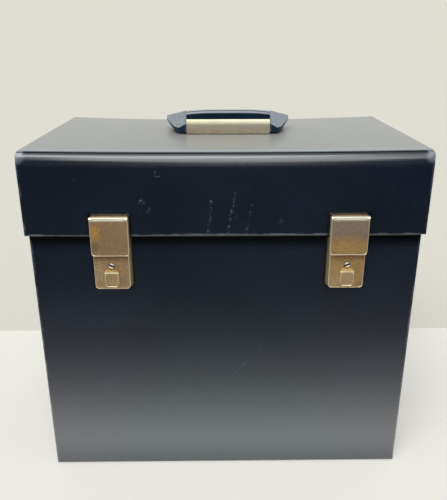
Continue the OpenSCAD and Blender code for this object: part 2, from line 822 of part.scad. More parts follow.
module lock_shell(inset) {
    half = lock_half - inset;
    corner = max(0, lock_corner_r - inset);
    edge = max(0, 1.4 - inset);
    face = lock_front + inset;
    intersection() {
        along_y(face, lock_back_front - face)
            round_rect([-half, lock_bottom + inset], [half, lock_top - inset],
                [corner, corner, 0, 0]);
        translate([0, 0, lock_bottom]) linear_extrude(lock_h)
            round_rect([-half, face], [half, 0], [edge, edge, 0, 0]);
        along_x(-lock_half, lock_w)
            round_rect([face, lock_bottom + inset], [0, lock_top - inset], [edge, 0, 0, edge]);
    }
}
module lock_case(x) {
    color(brass) translate([x, 0, 0]) difference() {
        lock_shell(0);
        lock_shell(lock_t);
        block([-catch_slot_half, lock_front - cut, catch_slot_low],
            [catch_slot_half, 0, lock_top + cut]);
        block([-button_neck_half - lock_gap, lock_front - cut,
            button_neck_low - button_travel - lock_gap],
            [button_neck_half + lock_gap, slide_front, button_neck_top + lock_gap]);
        at_front(0, lock_front - cut, plug_z) cylinder(r = plug_bore_r, h = lock_t + 2 * cut);
    }
}
module lock_rivets() {
    color(steel) for (x = latch_x, side = [-1, 1], z = [lock_rivet_low, lock_rivet_high])
        at_front(x + side * lock_rivet_x, -box_y - lock_t, z)
            rivet(lock_t + covering_t + board_t);
}
// Press button: a thumb pad with a ledge and a sloping top, in front of the lock case
module lock_button(x) {
    face = button_back - button_t;
    ledge = face + 0.8;
    color(brass) translate([x, 0, 0]) {
        difference() {
            intersection() {
                along_x(-button_half, button_w)
                    polygon([[button_back, button_low], [button_back, button_top],
                        [button_back - 0.5, button_top], [ledge, button_ledge],
                        [face + 0.3, button_ledge], [face, button_ledge - 0.3],
                        [face, button_low + 0.4], [face + 0.4, button_low]]);
                along_y(face - cut, button_t + 2 * cut)
                    round_rect([-button_half, button_low], [button_half, button_top],
                        [4, 4, 2.6, 2.6]);
            }
            along_y(face - cut, button_t + 2 * cut)
                polygon([[-1, button_top + 0.1], [0, button_top - 1.4], [1, button_top + 0.1]]);
        }
        block([-button_neck_half, button_back - button_t / 4, button_neck_low],
            [button_neck_half, slide_front, button_neck_top]);
    }
}
// Slide behind the lock case's front, with the bolt nose and the spring tab
module lock_slide(x) {
    plug_room = plug_r + lock_gap;
    nose_half = 3;
    color(steel) translate([x, 0, 0]) difference() {
        union() {
            block([-slide_half, slide_front, slide_low], [slide_half, slide_back, slide_top]);
            block([-nose_half, slide_front, slide_top - slide_t / 4],
                [nose_half, slide_back + 1.4, nose_top]);
            block([-2.2, slide_front, tab_low], [2.2, spring_y + spring_r + 0.6, tab_low + tab_t]);
        }
        block([-plug_room, slide_front - cut, plug_z - plug_room],
            [plug_room, slide_back + cut, plug_z + plug_room + button_travel]);
    }
}
// Return spring: one round wire wound as a helix, swept in rings of six points
spring_steps = 12 * spring_turns;
function spring_at(step) = let (share = step / spring_steps, turn = 360 * spring_turns * share)
    [spring_r * cos(turn), spring_r * sin(turn),
        spring_wire + share * (tab_low - spring_foot - 2 * spring_wire)];
function spring_ring(step, side) = let (turn = 360 * spring_turns * step / spring_steps,
        around = 60 * side)
    spring_at(step) + spring_wire * [cos(around) * cos(turn), cos(around) * sin(turn), sin(around)];
module lock_spring(x) {
    points = [for (step = [0 : spring_steps], side = [0 : 5]) spring_ring(step, side)];
    skin = [for (step = [0 : spring_steps - 1], side = [0 : 5])
        let (here = step * 6 + side, next = step * 6 + (side + 1) % 6)
        each [[here, here + 6, next], [next, here + 6, next + 6]]];
    last = spring_steps * 6;
    ends = [[0, 1, 2, 3, 4, 5], [for (side = [5 : -1 : 0]) last + side]];
    color(steel) translate([x, spring_y, spring_foot])
        polyhedron(points = points, faces = concat(skin, ends), convexity = 10);
}
module key_plug(x, slot_angle) {
    slot_half = 0.5;
    color(brass) difference() {
        union() {
            at_front(x, lock_front - plug_proud, plug_z)
                cylinder(r = plug_r, h = plug_back - lock_front + plug_proud);
            at_front(x, lock_front, plug_z) cylinder(r = cam_half, h = plug_back + cam_t - lock_front);
            block([x - cam_half, plug_back, plug_z - cam_l],
                [x + cam_half, plug_back + cam_t, plug_z + cam_half]);
        }
        translate([x, lock_front - plug_proud - cut, plug_z]) rotate([0, -slot_angle, 0]) {
            block([-plug_r * 0.86, 0, -slot_half], [plug_r * 0.5, 2.5 + cut, slot_half]);
            at_front(plug_r * 0.45, 0, 0) cylinder(r = slot_half * 1.8, h = 2.5 + cut);
        }
    }
}

base_board();
front_board();
back_board();
side_board(-1);  // left_board
side_board(1);  // right_board
box_covering();
base_sheet();
base_pad();
liner_front();
liner_back();
liner_side(-1);  // liner_left
liner_side(1);  // liner_right
lid_top_board();
lid_front_board();
lid_back_board();
lid_side_board(-1);  // lid_left_board
lid_side_board(1);  // lid_right_board
lid_covering();
lid_lining();
hinge_box_leaf(-1);  // hinge_box_leaf_left
hinge_box_leaf(1);  // hinge_box_leaf_right
hinge_lid_leaf(-1);  // hinge_lid_leaf_left
hinge_lid_leaf(1);  // hinge_lid_leaf_right
hinge_pin(-1);  // hinge_pin_left
hinge_pin(1);  // hinge_pin_right
hinge_box_rivets();
hinge_lid_rivets();
handle_grip();
handle_trim();
handle_bracket(-1);  // handle_bracket_left
handle_bracket(1);  // handle_bracket_right
handle_pin(-1);  // handle_pin_left
handle_pin(1);  // handle_pin_right
handle_rivets();
handle_backing_plate();
hasp_plate(latch_x[0]);  // hasp_plate_left
hasp_plate(latch_x[1]);  // hasp_plate_right
hasp_rivets();
hasp_flap(latch_x[0]);  // hasp_flap_left
hasp_flap(latch_x[1]);  // hasp_flap_right
hasp_pin(latch_x[0]);  // hasp_pin_left
hasp_pin(latch_x[1]);  // hasp_pin_right
hasp_catch(latch_x[0]);  // hasp_catch_left
hasp_catch(latch_x[1]);  // hasp_catch_right
lock_back(latch_x[0]);  // lock_back_left
lock_back(latch_x[1]);  // lock_back_right
lock_case(latch_x[0]);  // lock_case_left
lock_case(latch_x[1]);  // lock_case_right
lock_rivets();
lock_button(latch_x[0]);  // lock_button_left
lock_button(latch_x[1]);  // lock_button_right
lock_slide(latch_x[0]);  // lock_slide_left
lock_slide(latch_x[1]);  // lock_slide_right
lock_spring(latch_x[0]);  // lock_spring_left
lock_spring(latch_x[1]);  // lock_spring_right
key_plug(latch_x[0], keyhole_left);  // key_plug_left
key_plug(latch_x[1], keyhole_right);  // key_plug_right
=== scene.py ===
import math

import bmesh
import bpy
from mathutils import Matrix, Vector


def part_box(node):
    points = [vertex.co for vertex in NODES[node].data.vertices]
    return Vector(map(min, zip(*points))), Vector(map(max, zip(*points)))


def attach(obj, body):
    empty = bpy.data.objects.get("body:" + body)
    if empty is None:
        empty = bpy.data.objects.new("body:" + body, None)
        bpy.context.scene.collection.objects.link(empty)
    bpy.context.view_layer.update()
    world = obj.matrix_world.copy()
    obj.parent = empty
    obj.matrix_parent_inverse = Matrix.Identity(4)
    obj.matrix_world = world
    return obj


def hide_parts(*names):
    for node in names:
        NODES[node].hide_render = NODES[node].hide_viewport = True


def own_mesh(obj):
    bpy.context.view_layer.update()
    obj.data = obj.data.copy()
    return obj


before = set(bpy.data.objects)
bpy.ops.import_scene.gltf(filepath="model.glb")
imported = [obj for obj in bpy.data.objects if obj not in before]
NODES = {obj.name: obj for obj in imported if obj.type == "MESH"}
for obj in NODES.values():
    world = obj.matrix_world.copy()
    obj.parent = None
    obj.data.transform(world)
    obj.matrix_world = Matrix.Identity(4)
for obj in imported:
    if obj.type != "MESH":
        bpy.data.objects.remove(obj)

SCENE = bpy.context.scene
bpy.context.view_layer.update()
MM = 0.001
SIDES = ("left", "right")

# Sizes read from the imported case, in metres
BOX_LOW, BOX_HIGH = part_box("box_covering")
LID_LOW, LID_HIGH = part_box("lid_covering")
TRIM_LOW, TRIM_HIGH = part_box("handle_trim")

# Camera of the photograph: millimetres, degrees and pixels
PHOTO_SIZE = (447, 500)
CAMERA_PLACE = (-6.6, -513.8, 429.0)
CAMERA_PITCH = 17.91
CAMERA_YAW = 0.60
CAMERA_ROLL = -0.05
CAMERA_FOCUS = 506.5
CAMERA_CENTRE = (223.5, 197.2)

# Light: the colours of the wall and the table, where the table ends at the back, the two lamps and the fill
WALL_COLOUR = (0.742, 0.727, 0.650)
TABLE_COLOUR = (0.89, 0.875, 0.82)
TABLE_BACK = 0.158
HIGH_SUN = {"source": (-0.14, -0.52, 0.84), "irradiance": 1.70, "angle": 50.0}
LOW_SUN = {"source": (0.04, -0.92, 0.38), "irradiance": 0.80, "angle": 40.0}
ROOM_FILL = 0.45
FLOOR_REACH = 90.0
FLOOR_DROP = 0.15
# What mirrors see of the room: its levels in front, behind and above, and between which directions these change
MIRROR_FRONT = 0.03
MIRROR_BACK = 0.86
MIRROR_TOP = 1.10
MIRROR_TURN = (-0.35, 0.45)
MIRROR_HIGH = (0.24, 0.64)
MIRROR_WALL_COLOUR = (1.0, 1.0, 0.97)
MIRROR_SKY_COLOUR = (0.93, 1.0, 1.03)
# What mirrors see of the floor: its level, how far it reaches in front and how fast it fades, and how it changes
# close to the case, to the sides and under the case (from, to, level there and here), and its greener middle
SHEEN_LEVEL = 1.5
SHEEN_REACH = 0.108
SHEEN_POWER = 2.6
SHEEN_CLOSE = (0.0, 0.036, 0.66, 1.0)
SHEEN_SIDE = (0.25, 0.9, 1.0, 0.35)
SHEEN_UNDER = (BOX_LOW.y + 0.05, BOX_LOW.y, 0.30, 1.0)
SHEEN_MIDDLE = (0.17, 0.09)
SHEEN_COLOURS = ((1.0, 1.0, 0.985), (0.965, 1.045, 1.0))

# Sag of the old lid, in millimetres: how deep at its back edge and along its front crease, how it fades towards
# the sides, and, in Y for back and front and in Z, where it starts and over what length it grows
SAG_BACK = 3.6
SAG_FRONT = 1.5
SAG_HALF_WIDTH = 179.5
SAG_POWER = 2.2
SAG_BACK_Y = (25, 66.5)
SAG_FRONT_Y = (-5, 89.5)
SAG_Z = (300, 27)
# Lean of the padded front of the lid, in millimetres: its depth and height, how far below the rounded edge it
# starts, the radius of that edge, and where it starts in Y and over what length it grows
LEAN = (0.8, 9.0)
LEAN_DROP = 5.5
LID_ROLL = 9.0
LEAN_Y = (-78, 8)
# Planes across X, Y and Z that cut the lid's pieces so that they can bend, in millimetres
LID_CUTS = (range(-170, 171, 10), range(-90, 91, 10), [300, 306, 312, 318, *range(320, 332)])
# Crease along the lid's front, in millimetres: its Y, the height above which shade is painted in it, its half
# width (faint and full), where it ends at the sides, and a painted highlight on the lip behind (distance, then
# half width)
CREASE_Y = -90.7
CREASE_Z = 322.0
CREASE_HALF = (1.6, 1.1)
CREASE_END = (174.5, 172.0)
CREASE_LIP = (3.8, 2.6, 1.2)
# Pale worn patches on the lid's two front top corners: middle of the right one and reach, in millimetres
WORN_CORNER = (177.5, -90.5, 330.0)
WORN_REACH = (9.0, 3.0)
# Cloth, in millimetres: its rubbed edges, the painted shade below the lid's edge and above the foot, each from
# faint to full against the edge's place, and how far the painted shadow reaches round plates
EDGE_RUB = (-2.9, -0.5)
UNDER_SHADE = (-17, -2)
FOOT_SHADE = (3.0, 0.8)
PLATE_SHADOW_REACH = 5.0
# Depths, in metres, between which the front walls start
FRONT_WALL = (-0.085, -0.088)
# Grip, in millimetres: how far its crown stands up and falls at its two ends, over what height that grows, the
# number of cuts on each side, and how far the trim plate's lower edge reaches down, from what height and how soon
CROWN_RISE = 0.9
CROWN_DROP = 1.6
CROWN_HEIGHT = 4
CROWN_CUTS = 10
TRIM_FOOT = 1.7
TRIM_FOOT_FROM = 2.5
TRIM_FOOT_LENGTH = 2.0
# Where the glossy grip ends and its matt sloping ends begin, from the middle, and the upper part of the trim
# plate with a painted highlight and its spotted lower part, above its foot, in millimetres
GRIP_END = (41.6, 42.6)
TRIM_HIGHLIGHT_BAND = (3.4, 6.6)
TRIM_LOWER = (3.4, 0.4)
# Rivets: height of the head and sizes of the lathed form, in millimetres, and its number of sides
RIVET_HEAD = 0.8
RIVET_SIZES = {"Head radius": 2.6, "Head height": 0.8, "Shank radius": 1.6, "Grip": 7.0, "Tail height": 1.0}
RIVET_SIDES = 28
# Key plugs: how their slots lie, in radians, and the slot, its depth and the joint round the plug, all painted as
# shade, from faint to full, in millimetres
PLUG_SLOT_ANGLE = {"left": math.radians(-25), "right": math.radians(20)}
PLUG_SLOT = (1.0, 0.75)
PLUG_DEEP = (0.35, 0.75)
PLUG_JOINT = (2.2, 2.8)
# Latches, in millimetres: rims painted as highlights (corner radius and width), corner radii in the solids, how
# much rounder the worn corners are, and the height of a flap's rolled edge, which has a painted highlight
FLAP_RIM = (4.4, 1.5)
LOCK_RIM = (4.6, 1.3)
BUTTON_RIM = (3.6, 1.0)
FLAP_CORNER = 3.0
LOCK_CORNER = 3.5
CORNER_WEAR = 1.2
FLAP_ROLL = 3.2
# Press buttons, in millimetres: travel, height of the sloping top, and how far above its foot the rim and the
# ledge end
BUTTON_RAMP = 2.8
BUTTON_RIM_TOP = 0.2
BUTTON_LEDGE_TOP = 0.5
# Bands of painted shade and highlight on the brass, against the given height, from faint to full, in millimetres
SHADE_BAND = (-8, -1)
FOOT_BAND = (2.6, 1.4)
ROLL_BAND = (-1.0, 0.6)
LEDGE_BAND = (-1.6, -1.0)
SLOPE_BAND = (-0.2, 0.3)
# How strongly the brass is pitted: plain, and on the lock cases and buttons
MOTTLE = 0.65
LOCK_MOTTLE = 0.7
# Widths of the eased edges, in millimetres, and the least angle of an edge that is eased, in degrees
PLATE_EASE = 0.45
BUTTON_EASE = 0.35
PLUG_EASE = 0.12
GRIP_EASE = 0.4
TRIM_EASE = 0.2
EASED_ANGLE = 28
# Least angle of an edge that stays sharp, in degrees: on plates, and on springs and rivets
PLATE_SHARP = 32.0
ROUND_SHARP = 40.0
# How near points are joined and cuts are made, in metres
JOIN_GAP = 0.002 * MM
CUT_GAP = 0.0005 * MM

# Scratches: start, end, width and strength; scuffs: middle, radius and strength; in millimetres. The blur of a
# scratch's sides is in metres
SCRATCH_BLUR = 0.0004
LID_SCRATCHES = [
    ((-12.9, -94.5, 289.5), (-15.9, -94.5, 259.5), 2.0, 0.9),
    ((7.8, -94.5, 297.0), (1.5, -94.5, 260.0), 1.7, 0.8),
    ((23.0, -94.5, 285.5), (17.2, -94.5, 260.0), 2.0, 0.5),
    ((-60.8, -94.5, 316.5), (-61.4, -94.5, 312.0), 0.7, 0.9),
    ((-61.4, -94.5, 312.0), (-56.5, -94.5, 312.4), 0.6, 0.6),
    ((-149.6, -94.5, 324.0), (-149.0, -94.5, 316.0), 0.6, 0.4),
]
LID_SCUFFS = [
    ((-74.0, -94.5, 289.5), 4.5, 0.9),
    ((-68.0, -94.5, 282.0), 4.0, 0.4),
    ((-131.3, -94.5, 308.8), 3.0, 0.4),
    ((48.1, -94.5, 270.8), 3.2, 0.5),
    ((7.8, -94.5, 296.5), 1.6, 1.0),
    ((-12.9, -94.5, 289.3), 1.8, 1.0),
    ((-179.0, -93.5, 330.5), 4.0, 1.0),
    ((179.0, -93.5, 330.5), 3.0, 0.7),
]
BOX_SCRATCHES = [
    ((9.3, -91.5, 111.0), (35.0, -91.5, 139.7), 1.2, 0.95),
    ((-72.6, -91.5, 188.0), (-72.4, -91.5, 183.0), 0.6, 0.6),
    ((14.0, -91.5, 116.0), (20.0, -91.5, 123.5), 1.2, 0.8),
]
BOX_SCUFFS = [((62.0, -91.5, 84.0), 3.0, 0.3), ((-120.0, -91.5, 98.0), 2.5, 0.3)]

# Tints of the lock cases, buttons and back plates, against the plain brass; the back plates' tint is painted
# shade
LOCK_TONE = {"left": (1.22, 1.22, 1.2), "right": (1.26, 1.22, 0.92)}
BUTTON_TONE = (1.35, 1.4, 1.4)
BACK_SHADE_TONE = (0.50, 0.58, 0.50)
# Tarnish on the latches: middle, half extents, colour and strength
FLAP_PATCHES = {
    "left": [
        ((-116, -100.8, 262.5), (5.5, 9, 7.5), (0.84, 0.46, 0.10), 0.85),
        ((-116, -100.8, 249.5), (4.5, 9, 5), (0.20, 0.15, 0.11), 0.5),
        ((-98, -100.8, 255), (12, 9, 14), (0.52, 0.33, 0.18), 0.5),
    ],
    "right": [
        ((109, -100.8, 267), (40, 9, 11), (0.40, 0.33, 0.25), 0.85),
        ((109, -100.8, 247), (30, 9, 9), (0.70, 0.45, 0.16), 0.85),
        ((122, -100.8, 258), (5, 9, 4), (0.33, 0.27, 0.21), 0.5),
    ],
}
LOCK_PATCHES = [
    ((-115, -99, 222), (7, 9, 9), (0.74, 0.58, 0.33), 0.5),
    ((-93, -99, 214), (6, 9, 7), (0.40, 0.28, 0.17), 0.5),
    ((99, -99, 213), (8, 9, 7), (0.74, 0.60, 0.34), 0.5),
    ((121, -99, 216), (6, 9, 10), (0.52, 0.37, 0.19), 0.5),
]

# Colours of the leathercloth
CLOTH_BASE = ((0.0018, 0.0056, 0.0150), (0.0034, 0.0086, 0.0210))
CLOTH_FLECK = (0.03, 0.035, 0.045)
CLOTH_WORN = (0.20, 0.22, 0.26)
CLOTH_LOW_ANGLE_SHEEN = (0.31, 0.315, 0.295)
CLOTH_SHADE = (0.0006, 0.0006, 0.0008)
CLOTH_FOOT_SHADE = (0.004, 0.005, 0.007)
CREASE_SHADE = (0.002, 0.003, 0.004)
CREASE_LIP_HIGHLIGHT = (0.36, 0.39, 0.41)
CORNER_PALE = (0.21, 0.225, 0.26)
# Brass colours: plain, gold stains, painted shade under a flap, pits, bright flecks, then painted highlights and
# shade
BRASS_BASE = ((0.47, 0.295, 0.15), (0.62, 0.405, 0.23))
BRASS_GOLD = (0.60, 0.38, 0.14)
BRASS_UNDER_FLAP_SHADE = (0.27, 0.13, 0.06)
BRASS_PIT = (0.27, 0.165, 0.075)
BRASS_FLECK = (0.95, 0.76, 0.48)
BRASS_RIM_HIGHLIGHT = (0.95, 0.86, 0.60)
BRASS_FOOT_HIGHLIGHT = (1.0, 0.93, 0.70)
BRASS_ROLL_HIGHLIGHT = (0.74, 0.71, 0.54)
BRASS_LEDGE_HIGHLIGHT = (0.50, 0.44, 0.25)
BRASS_SLOPE_SHADE = ((0.30, 0.19, 0.06), (0.50, 0.36, 0.15))
# Colours of the other finishes
PLY_BASE = ((0.52, 0.36, 0.2), (0.68, 0.52, 0.33))
PLY_PORE = (0.26, 0.16, 0.08)
CARD_BASE = ((0.060, 0.062, 0.068), (0.105, 0.107, 0.112))
PAPER_BASE = ((0.20, 0.20, 0.195), (0.31, 0.31, 0.30))
PLUG_BASE = ((0.86, 0.80, 0.66), (0.97, 0.92, 0.78))
PLUG_PAINTED_SHADE = (0.012, 0.010, 0.009)
STEEL_BASE = ((0.56, 0.55, 0.52), (0.42, 0.40, 0.37))
TRIM_BASE = ((0.42, 0.365, 0.275), (0.50, 0.44, 0.34))
TRIM_TOP_HIGHLIGHT = (0.47, 0.445, 0.325)
TRIM_SPOT = (0.32, 0.22, 0.14)
TRIM_STAIN = (0.40, 0.33, 0.25)
PLASTIC_BASE = ((0.002, 0.011, 0.026), (0.003, 0.016, 0.038))
PLASTIC_RUBBED_SHEEN = (0.34, 0.37, 0.405)


# ---- node helpers
class Tree:
    """A short hand for building node trees, begun empty."""

    def __init__(self, tree):
        self.tree = tree
        tree.nodes.clear()

    def add(self, kind, inputs=None, **settings):
        node = self.tree.nodes.new(kind)
        for key, value in settings.items():
            setattr(node, key, value)
        for key, value in (inputs or {}).items():
            self.put(node.inputs[key], value)
        return node

    def put(self, socket, value):
        if isinstance(value, bpy.types.NodeSocket):
            self.tree.links.new(value, socket)
        else:
            socket.default_value = value

    def math(self, operation, a, b=0.0, clamp=False):
        node = self.add("ShaderNodeMath", operation=operation, use_clamp=clamp)
        self.put(node.inputs[0], a)
        self.put(node.inputs[1], b)
        return node.outputs[0]

    def times(self, a, b):
        return self.math("MULTIPLY", a, b)

    def plus(self, a, b):
        return self.math("ADD", a, b)

    def minus(self, a, b, clamp=False):
        return self.math("SUBTRACT", a, b, clamp=clamp)

    def larger(self, a, b):
        return self.math("MAXIMUM", a, b)

    def apart(self, a, b):
        """The distance between two numbers."""
        return self.math("ABSOLUTE", self.minus(a, b))

    def vector(self, operation, a, b=(0, 0, 0), scale=None):
        node = self.add("ShaderNodeVectorMath", operation=operation)
        self.put(node.inputs[0], a)
        if operation != "LENGTH":
            self.put(node.inputs[1], b)
        if scale is not None:
            self.put(node.inputs["Scale"], scale)
        return node.outputs["Value"] if operation in ("DOT_PRODUCT", "LENGTH", "DISTANCE") else node.outputs[0]

    def mix(self, factor, a, b):
        """One colour or the other."""
        node = self.add("ShaderNodeMix", data_type="RGBA")
        self.put(node.inputs["Factor"], factor)
        for key, value in ((6, a), (7, b)):
            self.put(node.inputs[key], (*value, 1) if isinstance(value, tuple) and len(value) == 3 else value)
        return node.outputs[2]

    def noise(self, vector, scale, detail=3.0, rough=0.5, stretch=(1, 1, 1), turn=(0, 0, 0), shift=(0, 0, 0)):
        place = self.add("ShaderNodeMapping", {"Vector": vector, "Scale": stretch, "Rotation": turn,
                                               "Location": shift})
        node = self.add("ShaderNodeTexNoise", {"Vector": place.outputs[0], "Scale": scale, "Detail": detail,
                                               "Roughness": rough})
        return node.outputs["Fac"]

    def step(self, value, low, high, to_low=0.0, to_high=1.0):
        """A smooth step of the value from one limit to the other; the limits may fall."""
        node = self.add("ShaderNodeMapRange", {"From Min": low, "From Max": high, "To Min": to_low,
                                               "To Max": to_high}, interpolation_type="SMOOTHSTEP")
        self.put(node.inputs["Value"], value)
        return node.outputs[0]

    def ramp(self, value, level, start, end):
        """A smooth step between two distances from a level, in millimetres."""
        return self.step(value, level + start * MM, level + end * MM)

    def blend(self, factor, first, second):
        """One shader or the other."""
        node = self.add("ShaderNodeMixShader")
        for socket, value in zip(node.inputs, (factor, first, second)):
            self.put(socket, value)
        return node.outputs[0]

    def bump(self, height, distance, strength=1.0, normal=None):
        node = self.add("ShaderNodeBump", {"Height": height, "Distance": distance, "Strength": strength})
        if normal is not None:
            self.put(node.inputs["Normal"], normal)
        return node.outputs[0]

    def place(self):
        return self.add("ShaderNodeTexCoord").outputs["Object"]

    def parts(self, vector):
        return self.add("ShaderNodeSeparateXYZ", {"Vector": vector}).outputs

    def point(self, x=0.0, y=0.0, z=0.0):
        return self.add("ShaderNodeCombineXYZ", {"X": x, "Y": y, "Z": z}).outputs[0]


class Finish(Tree):
    """A material with one Principled shader."""

    def __init__(self, name, **sockets):
        self.material = bpy.data.materials.new(name)
        self.material.use_nodes = True
        super().__init__(self.material.node_tree)
        self.shader = self.add("ShaderNodeBsdfPrincipled")
        self.add("ShaderNodeOutputMaterial", {"Surface": self.shader.outputs[0]})
        self.fill(**sockets)

    def fill(self, **sockets):
        """Puts values or links on the shader's sockets, with _ for the space in their names."""
        for key, value in sockets.items():
            self.put(self.shader.inputs[key.replace("_", " ")], value)
        return self.material


# ---- finishes
def metres(place):
    """A place given in millimetres."""
    return tuple(c * MM for c in place)


def scratch(tree, at, start, end, width):
    """Mask of one straight scratch between two points, in millimetres."""
    a, b = Vector(start) * MM, Vector(end) * MM
    along = b - a
    from_start = tree.vector("SUBTRACT", at, tuple(a))
    share = tree.vector("DOT_PRODUCT", from_start, tuple(along.normalized()))
    share = tree.math("DIVIDE", share, along.length, clamp=True)
    nearest = tree.vector("SCALE", tuple(along), scale=share)
    away = tree.vector("DISTANCE", from_start, nearest)
    return tree.step(away, width * MM / 2 + SCRATCH_BLUR, width * MM / 2)


def beyond(tree, at, low, high, inset=0.0):
    """How far a point lies beyond a rectangle in X and Z, along each of the two."""
    parts = tree.parts(at)
    return [tree.minus(tree.apart(parts[k], (low[k] + high[k]) / 2), (high[k] - low[k]) / 2 - inset)
            for k in (0, 2)]


def outside(tree, over):
    """The distance from a rectangle, for how far a point lies beyond it along each axis."""
    squares = [tree.math("POWER", tree.larger(part, 0.0), 2.0) for part in over]
    return tree.math("SQRT", tree.plus(*squares))


def plate_shadow(tree, at, plates, reach):
    """Mask of painted shadow on the cloth round plates on the front wall, each a low and a high corner."""
    mask = 0.0
    for low, high in plates:
        gap = outside(tree, beyond(tree, at, low, high))
        mask = tree.larger(mask, tree.step(gap, reach * MM, 0.0))
    return tree.times(mask, tree.step(tree.parts(at)[1], *FRONT_WALL))


def rubbed_edges(tree, at, low, high):
    """Mask of a box's rubbed edges: a point near two outer planes at once lies on an edge."""
    near = []
    centre = (Vector(low) + Vector(high)) / 2
    half = (Vector(high) - Vector(low)) / 2
    for part, middle, reach in zip(tree.parts(at), centre, half):
        near.append(tree.ramp(tree.apart(part, middle), reach, *EDGE_RUB))
    edge = tree.step(tree.plus(tree.plus(near[0], near[1]), near[2]), 1.05, 1.6)
    return tree.times(edge, tree.step(tree.noise(at, 60, 5, 0.65), 0.42, 0.66))


def marked(tree, at, wear, scratches, scuffs):
    """Adds broken scratches and scuffed patches to a mask of wear."""
    for start, end, width, depth in scratches:
        mask = scratch(tree, at, start, end, width)
        broken = tree.times(mask, tree.step(tree.noise(at, 480, 4, 0.75), 0.53, 0.60))
        wear = tree.larger(wear, tree.times(broken, depth))
    for spot, radius, depth in scuffs:
        away = tree.vector("DISTANCE", at, metres(spot))
        ragged = tree.step(tree.noise(at, 420, 4, 0.7), 0.46, 0.58)
        patch = tree.times(tree.step(away, radius * MM, 0.0), ragged)
        wear = tree.larger(wear, tree.times(patch, depth))
    return wear


def creased(tree, at, fleck, colour, matt):
    """The lid's front crease: painted shade in it, a painted highlight on the lip behind, and the pale worn
    corners.
    """
    x, y, z = tree.parts(at)
    high_up = tree.step(z, CREASE_Z * MM, (CREASE_Z + 1) * MM)
    inside = tree.times(tree.ramp(tree.apart(y, CREASE_Y * MM), 0, *CREASE_HALF), high_up)
    out = tree.math("ABSOLUTE", x)
    inside = tree.times(inside, tree.ramp(out, 0, *CREASE_END))
    corner = tree.vector("DISTANCE", tree.point(out, y, z), metres(WORN_CORNER))
    corner = tree.times(tree.ramp(corner, 0, *WORN_REACH), tree.step(fleck, 0.30, 0.60, 0.55, 1.0))
    behind = tree.apart(y, (CREASE_Y + CREASE_LIP[0]) * MM)
    lip = tree.times(tree.ramp(behind, 0, *CREASE_LIP[1:]), high_up)
    colour = tree.mix(tree.times(lip, 0.8), colour, CREASE_LIP_HIGHLIGHT)
    colour = tree.mix(tree.times(corner, 0.85), colour, CORNER_PALE)
    colour = tree.mix(inside, colour, CREASE_SHADE)
    return colour, tree.larger(matt, inside)


def leathercloth(name, low, high, scratches, scuffs, plates, under_z=None):
    """Navy vinyl cloth glued to boards: fine pressed grain, satin, rubbed along its edges, dulled on top.

    The box's cloth has painted shade below the lid's edge, whose height is given; the lid's own cloth has the
    crease.
    """
    tree = Finish(name, IOR=1.5, Coat_Weight=1.0, Coat_IOR=1.7, Coat_Roughness=0.15)
    at = tree.place()
    cloud = tree.noise(at, 14, 4, 0.55)
    fleck = tree.noise(at, 260, 3, 0.6)
    base = tree.mix(tree.step(cloud, 0.3, 0.7), *CLOTH_BASE)
    base = tree.mix(tree.times(tree.step(fleck, 0.62, 0.74), 0.25), base, CLOTH_FLECK)
    wear = marked(tree, at, rubbed_edges(tree, at, low, high), scratches, scuffs)
    colour = tree.mix(tree.times(wear, 0.42), base, CLOTH_WORN)
    # A top face handled and dusted for years has lost its gloss; its pale colour at a low view angle is a painted
    # sheen
    up = tree.parts(tree.add("ShaderNodeTexCoord").outputs["Normal"])[2]
    dull = tree.step(up, 0.80, 0.97)
    low_view = tree.step(tree.add("ShaderNodeLayerWeight", {"Blend": 0.5}).outputs["Facing"], 0.50, 0.80)
    colour = tree.mix(tree.times(tree.times(dull, low_view), 0.9), colour, CLOTH_LOW_ANGLE_SHEEN)
    matt = tree.times(dull, 0.70)
    gloss = tree.times(matt, 0.34)
    # Painted shadow on the cloth round the plates
    shadow_round_plates = plate_shadow(tree, at, plates, PLATE_SHADOW_REACH)
    colour = tree.mix(tree.times(shadow_round_plates, 0.85), colour, CLOTH_SHADE)
    matt = tree.larger(matt, tree.times(shadow_round_plates, 0.8))
    if under_z is not None:
        # Painted shade under the lid's edge, and a painted contact shadow along the foot of the box
        z = tree.parts(at)[2]
        under = tree.ramp(z, under_z, *UNDER_SHADE)
        colour = tree.mix(under, colour, CLOTH_SHADE)
        foot = tree.ramp(z, low[2], *FOOT_SHADE)
        colour = tree.mix(tree.times(foot, 0.9), colour, CLOTH_FOOT_SHADE)
        matt = tree.larger(matt, tree.times(foot, 0.8))
        matt = tree.larger(matt, under)
        gloss = tree.minus(gloss, tree.times(under, 0.18))
    else:
        colour, matt = creased(tree, at, fleck, colour, matt)
    haze = tree.noise(at, 9, 5, 0.6, stretch=(1, 1, 0.6))
    rough = tree.plus(tree.step(haze, 0.25, 0.75, 0.25, 0.32), tree.times(wear, 0.15))
    grain = tree.add("ShaderNodeTexVoronoi", {"Vector": at, "Scale": 1150.0}, feature="SMOOTH_F1")
    grain = grain.outputs["Distance"]
    fine = tree.noise(at, 2600, 2, 0.5)
    height = tree.plus(grain, tree.times(fine, 0.5))
    press = tree.bump(height, 0.05 * MM, 0.35)
    wave = tree.bump(tree.noise(at, 11, 3, 0.5), 0.35 * MM, 0.25, press)
    return tree.fill(Base_Color=colour, Coat_Weight=tree.minus(1.0, matt), Roughness=tree.plus(rough, gloss),
                     Normal=wave)


def plywood():
    """Thin pale plywood with its grain along X."""
    tree = Finish("plywood")
    at = tree.place()
    grain = tree.noise(at, 24, 6, 0.6, stretch=(1, 14, 14))
    pore = tree.noise(at, 300, 3, 0.6, stretch=(0.08, 1, 1))
    base = tree.mix(tree.step(grain, 0.3, 0.7), *PLY_BASE)
    base = tree.mix(tree.times(tree.step(pore, 0.58, 0.7), 0.4), base, PLY_PORE)
    return tree.fill(Base_Color=base, Roughness=tree.step(grain, 0.2, 0.8, 0.62, 0.78),
                     Normal=tree.bump(pore, 0.1 * MM, 0.4))


